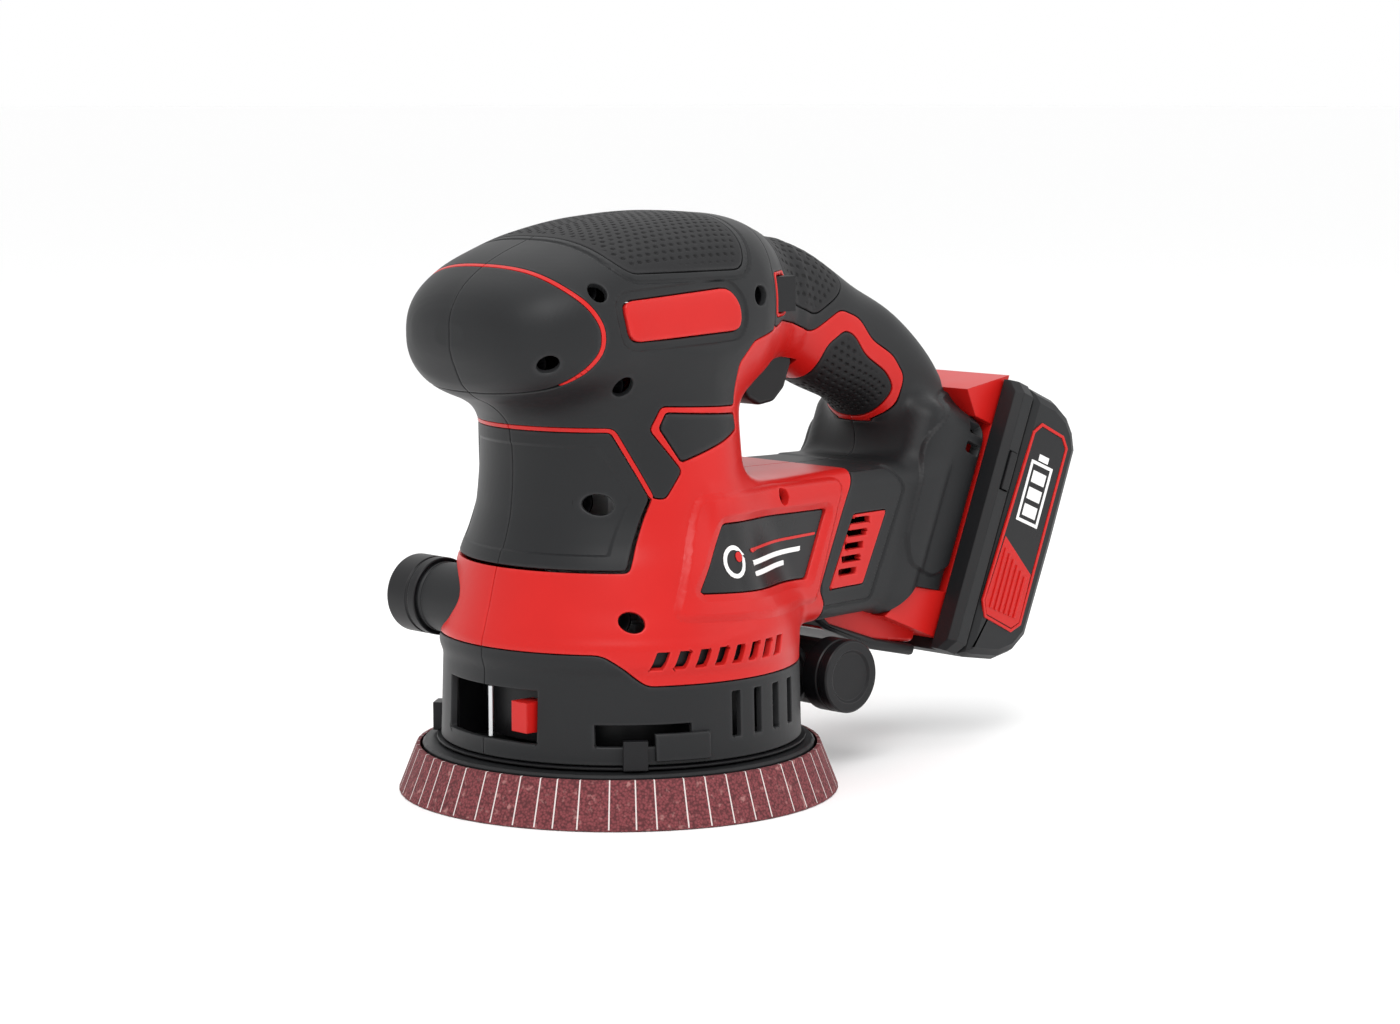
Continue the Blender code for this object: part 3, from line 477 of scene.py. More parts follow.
def bevelled(name, bm, width, segments=2, angle=25):
    """Mesh of a bmesh in millimetres with its sharp edges rounded."""
    bmesh.ops.remove_doubles(bm, verts=bm.verts, dist=1e-4)
    bmesh.ops.recalc_face_normals(bm, faces=bm.faces)
    if width:
        wear = bm.faces.layers.float.new("wear")
        sharp = [e for e in bm.edges if e.is_manifold
                 and e.calc_face_angle(0) > math.radians(angle)]
        made = bmesh.ops.bevel(bm, geom=sharp, offset=width, segments=segments, profile=0.5,
                               affect="EDGES", clamp_overlap=True)
        for face in made["faces"]:
            face[wear] = 1.0
    bmesh.ops.triangulate(bm, faces=[f for f in bm.faces if len(f.verts) > 4])
    bmesh.ops.transform(bm, matrix=Matrix.Scale(MM, 4), verts=bm.verts)
    mesh = bpy.data.meshes.new(name)
    bm.to_mesh(mesh)
    bm.free()
    mesh.shade_smooth()
    set_normals(mesh)
    return mesh


def loft(rings, bm=None):
    bm = bm or bmesh.new()
    rows = [[bm.verts.new(p) for p in ring] for ring in rings]
    for a, b in zip(rows, rows[1:]):
        for i in range(len(a)):
            j = (i + 1) % len(a)
            bm.faces.new((a[i], a[j], b[j], b[i]))
    bm.faces.new(rows[0][::-1])
    bm.faces.new(rows[-1])
    return bm


def prism(outline, y0, y1, bm=None):
    return loft([[(x, y, z) for x, z in outline] for y in (y0, y1)], bm=bm)


def box(lo, hi, bm=None):
    return loft([[(lo[0], lo[1], z), (hi[0], lo[1], z), (hi[0], hi[1], z), (lo[0], hi[1], z)]
                 for z in (lo[2], hi[2])], bm=bm)


def turned(outline, axis="Z", at=(0, 0, 0), steps=64, bm=None):
    """Solid of a closed (radius, height) outline turned about an axis."""
    bm = bm or bmesh.new()
    turn = {"Z": Matrix(), "Y": Matrix.Rotation(math.radians(-90), 4, "X"),
            "X": Matrix.Rotation(math.radians(90), 4, "Y")}[axis]
    place = Matrix.Translation(at) @ turn
    rows = []
    for r, h in outline:
        if r < 1e-6:
            rows.append([bm.verts.new(place @ Vector((0, 0, h)))] * steps)
        else:
            rows.append([bm.verts.new(place @ Vector((r * math.cos(a), r * math.sin(a), h)))
                         for a in (2 * math.pi * k / steps for k in range(steps))])
    pairs = list(zip(rows, rows[1:])) + ([(rows[-1], rows[0])] if outline[0][0] > 1e-6 else [])
    for a, b in pairs:
        for i in range(steps):
            j = (i + 1) % steps
            corners = list(dict.fromkeys((a[i], a[j], b[j], b[i])))
            if len(corners) > 2:
                bm.faces.new(corners)
    return bm


# ---- the body's half skin ----------------------------------------------------------------
HALF = keep(*skin(body, (-78, -66, 15.6), (162, 2.0, 200), SKIN_STEP), lambda p: -p[:, 1])
HALF[0][:, 1] = np.where(np.abs(HALF[0][:, 1]) < 1e-3, 0, HALF[0][:, 1])


def edge_keys(r):
    """Rounded edge of radius r as (distance inside the edge, height) keys."""
    return [(0, -r), (0.13 * r, -0.5 * r), (0.5 * r, -0.134 * r), (r, 0)]


def shell(points, faces, inside, reliefs=(), lift=0.0, wall=WALL, fine=0, pattern=None,
          whole=False, edge=EDGE, dist=body):
    """A moulded shell over the skin where inside > 0, as (points, faces, marks).

    reliefs is a list of (field, keys): the surface rises by the height that keys give for
    the field's value. pattern gives each point's place in a grip's field of dimples. marks
    are per-point values: wear at the edges, and the pattern's place and strength."""
    points, faces = keep(points, faces, inside)
    points, faces = refine(points, faces, dist, fine)
    steps = [(inside, edge_keys(edge))] + list(reliefs)
    for field, keys in steps:
        for level, _ in keys:
            if level:
                points, faces = split(points, faces, field, level)
    _, normal = gradient(dist, points)
    normal = unit(normal)
    if whole:
        normal[points[:, 1] == 0, 1] = 0
        normal = unit(normal)
    height = np.full(len(points), lift)
    for field, keys in steps:
        levels, heights = zip(*keys)
        height += np.interp(field(points), levels, heights)
    depth = inside(points)
    marks = {"wear": np.clip(1 - depth / (2 * edge), 0, 1)}
    if pattern:
        place = np.zeros((len(points), 3))
        place[:, :2] = pattern(points)
        place[:, 2] = np.clip((depth - 1.8) / 1.2, 0, 1)
        height -= DIMPLE_DEPTH * dimple(place)
        marks["place"] = place
    outer = points + normal * height[:, None]
    inner = points - normal * wall
    if whole:
        on_seam = points[:, 1] == 0
        count = len(points)
        twin = np.where(on_seam, np.arange(count), count + np.arange(count))
        outer, inner = (np.concatenate([a, flip(a)]) for a in (outer, inner))
        marks = {key: np.concatenate([value, value]) for key, value in marks.items()}
        faces = np.concatenate([faces, twin[faces][:, ::-1]])
        used, faces = np.unique(faces, return_inverse=True)
        faces = faces.reshape(-1, 3)
        outer, inner = outer[used], inner[used]
        marks = {key: value[used] for key, value in marks.items()}
    count = len(outer)
    ends = np.concatenate([faces[:, [0, 1]], faces[:, [1, 2]], faces[:, [2, 0]]])
    key = np.sort(ends, 1) @ np.array([count, 1])
    _, first, times = np.unique(key, return_index=True, return_counts=True)
    rim = ends[first[times == 1]]
    wall_faces = np.concatenate([np.stack([rim[:, 1], rim[:, 0], rim[:, 0] + count], 1),
                                 np.stack([rim[:, 1], rim[:, 0] + count, rim[:, 1] + count], 1)])
    marks = {key: np.concatenate([value, value]) for key, value in marks.items()}
    return (np.concatenate([outer, inner]),
            np.concatenate([faces, faces[:, ::-1] + count, wall_faces]), marks)


def dimple(place):
    """Depth, 0 to 1, of a staggered field of oval dimples; the shader draws the same one."""
    row = np.floor(place[:, 1])
    x = place[:, 0] + 0.5 * (row % 2)
    dx, dy = (x - np.floor(x) - 0.5) / DIMPLE[0], (place[:, 1] - row - 0.5) / DIMPLE[1]
    return place[:, 2] * np.clip(1 - dx ** 2 - dy ** 2, 0, 1)


def mirrored(part):
    return flip(part[0]), part[1][:, ::-1], part[2]


def side_pieces(name, mat, slot, inside, nodes=None, right=None, left=None, **form):
    """A left moulding and its right-hand twin. left and right hold what one side adds."""
    nodes = (name,) if nodes is None else nodes
    for side, own_field in (("left", left), ("right", right)):
        fields = [inside, seam] + ([own_field] if own_field else [])
        made = shell(*HALF, both(*fields), **form)
        if side == "right":
            made = mirrored(made)
        add_piece(f"{name}_{side}_skin", mesh_from(f"{name}_{side}_skin", *made), mat,
                  "housing", [f"{n}_{side}" for n in nodes])


def whole_piece(name, mat, slot, inside, nodes=(), **form):
    mesh = mesh_from(f"{name}_skin", *shell(*HALF, inside, whole=True, **form))
    add_piece(f"{name}_skin", mesh, mat, "housing", nodes)


# ---- materials ---------------------------------------------------------------------------
def new_material(name):
    mat = bpy.data.materials.new(name)
    mat.use_nodes = True
    return mat, mat.node_tree, mat.node_tree.nodes["Principled BSDF"]


def link(tree, a, b):
    tree.links.new(a, b)


def node(tree, kind, **values):
    made = tree.nodes.new(kind)
    for key, value in values.items():
        if key in made.inputs:
            made.inputs[key].default_value = value
        else:
            setattr(made, key, value)
    return made


def math_node(tree, operation, a, b=None, clamp=False):
    made = tree.nodes.new("ShaderNodeMath")
    made.operation = operation
    made.use_clamp = clamp
    for k, value in enumerate((a, b)):
        if value is None:
            continue
        if isinstance(value, (int, float)):
            made.inputs[k].default_value = value
        else:
            link(tree, value, made.inputs[k])
    return made.outputs[0]


def mix_colour(tree, factor, a, b):
    made = tree.nodes.new("ShaderNodeMix")
    made.data_type = "RGBA"
    link(tree, factor, made.inputs["Factor"])
    for socket, value in ((made.inputs[6], a), (made.inputs[7], b)):
        if isinstance(value, tuple):
            socket.default_value = (*value, 1)
        else:
            link(tree, value, socket)
    return made.outputs[2]


def ranged(tree, value, low, high, to_low, to_high):
    made = tree.nodes.new("ShaderNodeMapRange")
    link(tree, value, made.inputs["Value"])
    for key, number in (("From Min", low), ("From Max", high), ("To Min", to_low),
                        ("To Max", to_high)):
        made.inputs[key].default_value = number
    return made.outputs[0]


def dimple_height(tree):
    """The grip's field of dimples again, for the crisp bump and for the painted shade in the dimple
    floors: 1 at a dimple's floor.
    """
    parts = tree.nodes.new("ShaderNodeSeparateXYZ")
    place = node(tree, "ShaderNodeAttribute", attribute_name="place")
    link(tree, place.outputs["Vector"], parts.inputs[0])
    x, y, strength = parts.outputs
    row = math_node(tree, "FLOOR", y)
    odd = math_node(tree, "MULTIPLY", math_node(tree, "FLOORED_MODULO", row, 2.0), 0.5)
    x = math_node(tree, "FRACT", math_node(tree, "ADD", x, odd))
    squares = []
    for value, half in ((x, DIMPLE[0]), (math_node(tree, "FRACT", y), DIMPLE[1])):
        off = math_node(tree, "DIVIDE", math_node(tree, "SUBTRACT", value, 0.5), half)
        squares.append(math_node(tree, "MULTIPLY", off, off))
    height = math_node(tree, "SUBTRACT", 1.0, math_node(tree, "ADD", *squares), clamp=True)
    return math_node(tree, "MULTIPLY", height, strength)


def moulded(name, colour, rough, grain=2200, depth=0.00002, strength=0.35, soft=0.0, dimples=False):
    """Moulded plastic or rubber: spark-eroded grain, faint mottling, edges rubbed lighter; with
    dimples, painted shade darkens the dimple floors.
    """
    mat, tree, shader = new_material(name)
    place = tree.nodes.new("ShaderNodeTexCoord").outputs["Object"]
    mottle = node(tree, "ShaderNodeTexNoise", Scale=38.0, Detail=4.0)
    fine = node(tree, "ShaderNodeTexNoise", Scale=float(grain), Detail=2.0)
    for texture in (mottle, fine):
        link(tree, place, texture.inputs["Vector"])
    shade = ranged(tree, mottle.outputs[0], 0.3, 0.7, 0, 1)
    base = mix_colour(tree, shade, tuple(c * 0.93 for c in colour), colour)
    worn = node(tree, "ShaderNodeAttribute", attribute_name="wear").outputs["Fac"]
    rubbed = math_node(tree, "MULTIPLY", worn, ranged(tree, mottle.outputs[0], 0.4, 0.6, 0.2, 0.6))
    base = mix_colour(tree, rubbed, base, tuple(c * 1.12 + 0.02 for c in colour))
    smooth = ranged(tree, mottle.outputs[0], 0.3, 0.7, rough - 0.03, rough + 0.03)
    link(tree, math_node(tree, "SUBTRACT", smooth, math_node(tree, "MULTIPLY", worn, 0.06)),
         shader.inputs["Roughness"])
    bump = node(tree, "ShaderNodeBump", Strength=strength, Distance=depth)
    link(tree, fine.outputs[0], bump.inputs["Height"])
    if soft:
        rim = node(tree, "ShaderNodeBevel", Radius=soft)
        link(tree, rim.outputs[0], bump.inputs["Normal"])
    if dimples:
        dimple_depth_and_shade = dimple_height(tree)
        # painted shade: the colour darkens to 0.3 of itself at each dimple's floor
        base = mix_colour(tree, dimple_depth_and_shade, base, tuple(c * 0.3 for c in colour))
        dent = node(tree, "ShaderNodeBump", Strength=0.9, Distance=0.0004)
        dent.invert = True
        link(tree, dimple_depth_and_shade, dent.inputs["Height"])
        link(tree, bump.outputs[0], dent.inputs["Normal"])
        bump = dent
    link(tree, base, shader.inputs["Base Color"])
    link(tree, bump.outputs[0], shader.inputs["Normal"])
    shader.inputs["Specular IOR Level"].default_value = SPECULAR
    return mat


def machined(name, colour, rough, scale=900, depth=0.00001):
    """Turned or cast metal with fine tool marks."""
    mat, tree, shader = new_material(name)
    place = tree.nodes.new("ShaderNodeTexCoord").outputs["Object"]
    fine = node(tree, "ShaderNodeTexNoise", Scale=float(scale), Detail=3.0)
    broad = node(tree, "ShaderNodeTexNoise", Scale=60.0, Detail=2.0)
    for texture in (fine, broad):
        link(tree, place, texture.inputs["Vector"])
    dark = tuple(c * 0.8 for c in colour)
    link(tree, mix_colour(tree, ranged(tree, broad.outputs[0], 0.35, 0.65, 0, 1), dark, colour),
         shader.inputs["Base Color"])
    link(tree, ranged(tree, broad.outputs[0], 0.3, 0.7, rough - 0.07, rough + 0.07),
         shader.inputs["Roughness"])
    bump = node(tree, "ShaderNodeBump", Strength=0.3, Distance=depth)
    link(tree, fine.outputs[0], bump.inputs["Height"])
    link(tree, bump.outputs[0], shader.inputs["Normal"])
    shader.inputs["Metallic"].default_value = 1.0
    return mat


def abrasive_paper(name):
    """Maroon grit with thin pale dividing lines across the disc's edge."""
    mat, tree, shader = new_material(name)
    place = tree.nodes.new("ShaderNodeTexCoord").outputs["Object"]
    grit = node(tree, "ShaderNodeTexVoronoi", Scale=1150.0)
    blotch = node(tree, "ShaderNodeTexNoise", Scale=400.0, Detail=4.0)
    for texture in (grit, blotch):
        link(tree, place, texture.inputs["Vector"])
    maroon, deep, pale = (0.19, 0.036, 0.042), (0.075, 0.011, 0.014), (0.36, 0.16, 0.15)
    base = mix_colour(tree, ranged(tree, grit.outputs["Distance"], 0.25, 0.75, 0, 1), maroon, deep)
    base = mix_colour(tree, ranged(tree, blotch.outputs[0], 0.60, 0.72, 0, 0.75), base, pale)
    parts = tree.nodes.new("ShaderNodeSeparateXYZ")
    link(tree, place, parts.inputs[0])
    x, y = parts.outputs[0], parts.outputs[1]
    angle = math_node(tree, "ARCTAN2", y, x)
    wedge = node(tree, "ShaderNodeTexVoronoi", voronoi_dimensions="1D",
                 feature="DISTANCE_TO_EDGE")
    wedge.inputs["Scale"].default_value = 1.0
    wedge.inputs["Randomness"].default_value = 0.85
    link(tree, math_node(tree, "MULTIPLY", angle, 9.0), wedge.inputs["W"])
    radius = math_node(tree, "SQRT", math_node(tree, "ADD", math_node(tree, "MULTIPLY", x, x),
                                               math_node(tree, "MULTIPLY", y, y)))
    line = math_node(tree, "LESS_THAN", wedge.outputs["Distance"], 0.028)
    outer = math_node(tree, "GREATER_THAN", radius, 0.067)
    above = math_node(tree, "GREATER_THAN", parts.outputs[2], 0.0004)
    side = math_node(tree, "MULTIPLY", outer, above)
    base = mix_colour(tree, math_node(tree, "MULTIPLY", line, side), base, (0.62, 0.56, 0.54))
    link(tree, base, shader.inputs["Base Color"])
    shader.inputs["Roughness"].default_value = 0.85
    bump = node(tree, "ShaderNodeBump", Strength=0.8, Distance=0.00025)
    link(tree, grit.outputs["Distance"], bump.inputs["Height"])
    bump.invert = True
    link(tree, bump.outputs[0], shader.inputs["Normal"])
    return mat


RED = (0.50, 0.009, 0.007)
MOULDED = {          # colour, roughness, grain, grain depth, strength
    "red": (RED, 0.34, 1700, 0.00002, 0.3),
    "charcoal": ((0.011, 0.0115, 0.0125), 0.47, 2000, 0.00004, 0.5),
    "grip": ((0.011, 0.011, 0.012), 0.60, 2600, 0.00005, 0.5),
    "black": ((0.006, 0.006, 0.007), 0.42, 1800, 0.00003, 0.35),
    "gloss": ((0.008, 0.008, 0.009), 0.28, 900, 0.00001, 0.2),
    "white": ((0.80, 0.80, 0.79), 0.45, 1500, 0.00001, 0.2),
    "foam": ((0.030, 0.030, 0.032), 0.88, 900, 0.0002, 0.8),
    "cell": ((0.03, 0.20, 0.28), 0.35, 800, 0.00001, 0.2),
}
MATERIALS = {key: moulded(f"{key}_moulding", *look, dimples=key == "grip")
             for key, look in MOULDED.items()}
MATERIALS.update({f"cad_{key}": moulded(f"{key}_soft_edged", *look, soft=0.0006)
                  for key, look in MOULDED.items()})
MATERIALS.update({
    "steel": machined("ground_steel", (0.60, 0.61, 0.62), 0.28),
    "cast": machined("cast_alloy", (0.50, 0.51, 0.52), 0.48, 700, 0.00004),
    "abrasive": abrasive_paper("abrasive_paper"),
})

# ---- outlines of the mouldings, (x, z) seen from the left --------------------------------
SHROUD_LINE = [(-90, 0), (-90, 54.5), (-46, 54.5), (-34, 44), (90, 44), (90, 0)]
KNOB = [(-90, 190), (-60, 181), (-56, 174), (-50, 167), (-46, 160), (-46, 153), (-51, 146),
        (-58, 140.5), (-66, 138.5), (-90, 128)]
NECK_PANEL = [(-90, 126), (-34, 126), (-24.5, 104), (-35, 80.5), (-90, 80.5)]
HEAD = [(-90, 126), (-34, 126), (-24.5, 104), (-20.5, 103.5), (-14.5, 112.5), (-24, 126),
        (-20, 133.5), (13, 132), (13, 146), (20, 153), (33, 156), (33, 176), (37, 188),
        (46, 205), (-90, 205)]
REAR_HANDLE = [(46, 205), (37, 188), (33, 176), (33, 156), (42, 158.5), (60, 156), (72, 152),
               (87, 159.5), (97, 156), (103, 148), (114, 142), (120, 134), (117, 124),
               (112, 117), (122, 118), (160, 136), (160, 205)]
FOOT = [(112, 117), (122, 120), (160, 139), (200, 140), (200, 0), (62, 40), (62, 60),
        (59.5, 64.5), (76, 97), (82, 105), (82, 111)]
ACCENT = [(-39, 168.5), (7, 171.5), (12.5, 165), (12.5, 157), (-36, 155)]
CROWN = [(-38, 205), (-38, 187), (-36, 181), (-32, 177), (15, 177), (20, 184), (28, 205)]
HANDLE_INSET = [(89, 152), (81, 147), (80, 139), (82, 120), (110, 110), (111, 118), (113, 124),
                (115.5, 130), (111, 136), (100, 142.5), (94, 150)]
PLATE = [(-1, 94.5), (63, 92.5), (51.5, 69.5), (-15, 73)]
PLATE_FRAME = [(-9, 103), (72, 101), (56, 62), (-24, 66)]
BRACE = [(-21, 126.5), (-18.5, 131.5), (12.5, 129.5), (13.5, 124), (-14.5, 115.2)]
SELECTOR_SLOT = [(35.6, 161.2), (45.4, 161.2), (45.4, 173.8), (35.6, 173.8)]
GRIP_A = [(50, 205), (47, 182), (48, 174), (56, 171), (58, 163), (73, 158), (86, 164),
          (91, 168), (88, 185), (84, 205)]
FRAME_ROOM = leaned([(83.9, 172.8), (91.9, 164.9), (101.4, 164.9), (101.4, 101), (84, 98),
                     (73, 83), (120, 70), (120, 200), (83.9, 200)])

CHEEK = [(136, 126), (120, 112), (107, 77), (109, 68), (123, 62), (150, 70), (165, 110),
         (150, 128)]
COLLAR = [(60, 104), (101, 104), (107, 96), (88, 58), (60, 58)]
GRILLE = [(79, 89), (97, 89), (84, 64), (65, 64)]

z_cheek, z_collar, z_grille = zone(CHEEK, 3), zone(COLLAR, 2), zone(GRILLE, 1)
z_shroud, z_knob, z_neck, z_head = zone(SHROUD_LINE, 2), zone(KNOB, 4), zone(NECK_PANEL), zone(HEAD)
z_handle, z_foot, z_accent = zone(REAR_HANDLE, 3), zone(FOOT), zone(ACCENT, 4)
z_crown, z_inset, z_plate = zone(CROWN, 4), zone(HANDLE_INSET, 3), zone(PLATE, 1.5)
z_frame, z_brace, z_slot = zone(PLATE_FRAME, 3), zone(BRACE, 1), zone(SELECTOR_SLOT, 0.5)
z_grip_a, z_room = zone(GRIP_A, 3), zone(FRAME_ROOM, 0.5)


def gap(*fields, room=GAP):
    return lambda p: np.minimum.reduce([-f(p) for f in fields]) - room


def own(field, room=GAP):
    return lambda p: field(p) - room


SCREWS = [(-46, 171.5, 3.0), (-62, 149, 2.9), (-34, 140.5, 3.2), (-38, 102, 3.4), (-37, 65, 3.4),
          (37, 99, 2.6), (23, 168, 3.4)]


def surface_y(x, z):
    """Where the body's left surface lies, looking along +Y."""
    y = np.arange(-70, 0, 0.05)
    d = body(np.stack([np.full(len(y), x), y, np.full(len(y), z)], 1))
    return y[np.argmax(d < 0)]


def screw_holes(p):
    return np.minimum.reduce([hole(*screw)(p) for screw in SCREWS])


def make_screws():
    """A black cup, the screw boss's wall made black as painted shade in the recess, and a recessed
    cross-head screw behind every hole.
    """
    for i, (x, z, r) in enumerate(SCREWS):
        rim = max(surface_y(x + (r + 1.2) * math.cos(a), z + (r + 1.2) * math.sin(a))
                  for a in np.linspace(0, 2 * math.pi, 12))
        top = rim + 0.9
        # painted shade: the cup is the boss wall, coloured near-black for the shade inside the
        # screw recess
        cup = turned([(r + 0.1, 0), (r + 1.1, 0), (r + 1.1, 9), (0, 9), (0, 8), (r + 0.1, 8)],
                     "Y", (x, top, z), 28)
        add_piece(f"screw_shade_cup_{i}", bevelled(f"screw_shade_cup_{i}", cup, 0), "black", "housing")
        head_r = r - 0.5
        screw = turned([(0, 7.9), (head_r, 7.9), (head_r, 6.9), (head_r * 0.8, 6.2),
                        (head_r * 0.45, 6.0), (head_r * 0.3, 6.9), (0, 6.9)], "Y",
                       (x, top, z), 28)
        add_piece(f"screw_face_{i}", bevelled(f"screw_face_{i}", screw, 0), "steel", "housing")


def make_housing():
    zones = gap(z_shroud, z_knob, z_neck, z_head, z_handle, z_foot, z_inset, z_plate, z_room,
                z_brace)
    vents = [vent_slot(x) for x in np.linspace(-31, 17, 8)]
    inside = both(zones, *vents, trigger_room)
    side_pieces("housing", "red", "red_plastic", inside,
                left=screw_holes, right=hole(*SPIGOT, PORT_CLEAR),
                reliefs=[(z_frame, [(-1.6, 0), (0, 1.1), (0.8, 1.3)]),
                         (z_plate, [(-2.6, 0), (-0.5, -1.3)])])


def trigger_room(p):
    x, y, z = p.T
    d = np.maximum.reduce([np.abs(x - 58.5) - 13.1, np.abs(y) - 12.2, np.abs(z - 136) - 16])
    return d


def vent_slot(x0):
    """One leaning air slot in the ridge over the dust shroud."""
    def field(p):
        x, _, z = p.T
        lean_x = x - x0 - (z - 52.5) * 0.35
        q = np.maximum(np.abs(lean_x) - 1.9, np.abs(z - 52.8 - 0.02 * (x0 + 7)) - 3.0)
        return q
    return field


def make_shroud():
    def window(p):
        x, y, z = p.T
        return np.maximum.reduce([np.abs(y) - 22, np.abs(z - 33) - 8.8, x + 40])

    def side_slot(p):
        x, y, z = p.T
        return np.maximum.reduce([np.abs(x + 34) - 13, np.abs(z - 28) - 3.6, y + 20])

    def uprights(p):
        x, y, z = p.T
        return np.minimum.reduce([np.maximum.reduce([np.abs(x - c) - 1.8, np.abs(z - 33) - 7.5,
                                                     y + 20]) for c in (-4, 6, 16, 26)])

    def neck_hole(p):
        return np.where(p[:, 0] > 30, np.hypot(p[:, 1] + 16, p[:, 2] - ELBOW[1]) - 9.5, 50)

    inside = both(own(z_shroud), window, side_slot, uprights, lambda p: p[:, 2] - SHROUD_BOTTOM)
    side_pieces("dust_shroud", "charcoal", "charcoal_plastic", inside, left=neck_hole,
                right=hole(*SPIGOT, PORT_CLEAR))


def knob_trim(p):
    """Half width of the red line round the knob, which fades out below."""
    return 0.1 + 0.75 * np.clip((p[:, 2] - 139) / 7, 0, 1)


def make_head():
    off_knob = lambda p: -z_knob(p) - knob_trim(p)
    side_pieces("front_knob", "charcoal", "charcoal_plastic",
                lambda p: z_knob(p) - knob_trim(p), left=screw_holes, edge=0.5)
    side_pieces("neck_grip", "charcoal", "charcoal_plastic", own(z_neck, TRIM_HALF),
                left=screw_holes, lift=-0.1, reliefs=[(z_neck, [(5.0, 0), (5.8, -0.5)])])
    inside = both(own(z_head), off_knob, gap(z_neck, room=TRIM_HALF), gap(z_accent, z_crown))
    side_pieces("head_shell", "charcoal", "charcoal_plastic", inside, left=screw_holes,
                reliefs=[(z_accent, [(-3.2, 0), (-2.7, -0.6), (-0.2, -0.6)]),
                         (z_crown, [(-3.6, 0), (-3.1, -0.5), (-2.4, -0.5), (-1.9, 0)])])
    side_pieces("accent_panel", "red", "red_plastic", own(z_accent), lift=0.4, edge=0.7)
    lines = lambda p: np.maximum(
        np.minimum(knob_trim(p) - 0.1 - np.abs(z_knob(p)), p[:, 2] - 142),
        0.7 - np.abs(z_neck(p)))
    side_pieces("trim_line", "red", "red_plastic", both(lines, lambda p: z_head(p) + 0.6),
                nodes=(), edge=0.25)
    side_pieces("brace_panel", "charcoal", "charcoal_plastic", own(z_brace), nodes=(), edge=0.9)
    whole_piece("crown_grip", "grip", "grip_rubber", own(z_crown), ["crown_grip"], fine=1,
                edge=0.6, pattern=lambda p: np.stack(
                    [p[:, 0] / 3.3, np.arctan2(-p[:, 1], p[:, 2] - 148) * 46 / 2.6], 1))


def handle_pattern(p):
    at, off = along_spine(p[:, 0], p[:, 2])
    return np.stack([at / 3.3, np.arctan2(-p[:, 1], off) * 19 / 2.6], 1)


def grille_slots(p):
    """Five short level slots, stepping forwards as they go down."""
    x, y, z = p.T
    row = np.clip(np.round((86.7 - z) / 4.35), 0, 4)
    return np.where(y < 0, np.maximum(np.abs(x - 82.6 + 1.85 * row) - 5.0,
                                      np.abs(z - 86.7 + 4.35 * row) - 1.15), 50)


def foot_windows(p):
    u, v = lean(p[:, 0], p[:, 2])
    return np.maximum(np.minimum(np.abs(u - 153) - 1.9, np.abs(u - 160) - 1.9),
                      np.abs(v - 93) - 4)


def make_handle():
    rim = lambda p: -z_slot(p) - 1.3
    side_pieces("rear_body", "charcoal", "charcoal_plastic",
                both(lambda p: np.maximum(z_handle(p), z_foot(p)) - GAP, rim, foot_windows,
                     gap(z_grip_a, z_room, z_grille, z_inset)),
                nodes=("handle_shell", "foot"), left=screw_holes,
                reliefs=[(z_cheek, [(-0.4, 0), (0.9, 1.1)]),
                         (z_collar, [(-0.8, 0), (-0.3, -0.6), (0.3, -0.6), (0.8, 0)])])
    side_pieces("selector_rim", "red", "red_plastic",
                lambda p: np.minimum(-z_slot(p) - 0.1, 1.2 + z_slot(p)), nodes=(), lift=0.25,
                edge=0.2)
    side_pieces("grille", "red", "red_plastic", both(own(z_grille), grille_slots), nodes=(),
                lift=0.3)
    whole_piece("handle_grip", "grip", "grip_rubber", own(z_grip_a), ["handle_grip"], fine=1,
                edge=0.6, pattern=handle_pattern)
    whole_piece("handle_inset", "grip", "grip_rubber", own(z_inset), ["handle_inset"], fine=1,
                edge=0.6, pattern=handle_pattern)
    side_pieces("name_plate", "gloss", "charcoal_plastic", own(z_plate), lift=-0.9)
    stripes = [(13, 57, 84.6, 0.45), (13, 48, 80.4, 0.8), (13, 38, 76.8, 0.8)]
    for i, (x0, x1, level, half) in enumerate(stripes):
        bar = lambda p, a=x0, b=x1, c=level, h=half: np.minimum(
            h - np.abs(p[:, 2] - c), (b - a) / 2 - np.abs(p[:, 0] - (a + b) / 2))
        side_pieces(f"plate_stripe_{i}", "white" if i else "red", "red_plastic",
                    both(bar, own(z_plate, 1)), nodes=(), lift=MARK_LIFT, wall=0.6, edge=0.1)
    ring = lambda p: 0.7 - np.abs(np.hypot(p[:, 0] - 2, p[:, 2] - 82) - 4.6)
    dot = lambda p: 1.7 - np.hypot(p[:, 0] - 4.4, p[:, 2] - 83.4)
    side_pieces("plate_ring", "white", "red_plastic", both(ring, lambda p: -dot(p) - 0.3),
                nodes=(), lift=MARK_LIFT, wall=0.6, edge=0.1)
    side_pieces("plate_dot", "red", "red_plastic", dot, nodes=(), lift=-0.7, wall=0.6, edge=0.1)


# ---- battery, in (v rearward, u up) -----------------------------------------------------
CASE = [(108.2, 80.5), (112, 80.2), (127, 83.5), (135, 88.5), (139.8, 96), (140.3, 132),
        (139.8, 168), (136, 174), (130.5, 178.5), (122, 181.3), (108.2, 181.5)]
LABEL = [(112.2, 166.7), (115.8, 170.9), (129, 170.2), (133, 166.5), (133.3, 98.7), (129, 94.8),
         (113, 96), (109.5, 101.5)]
LABEL_SPLIT = [(112.5, 126.7), (131.4, 117.4)]


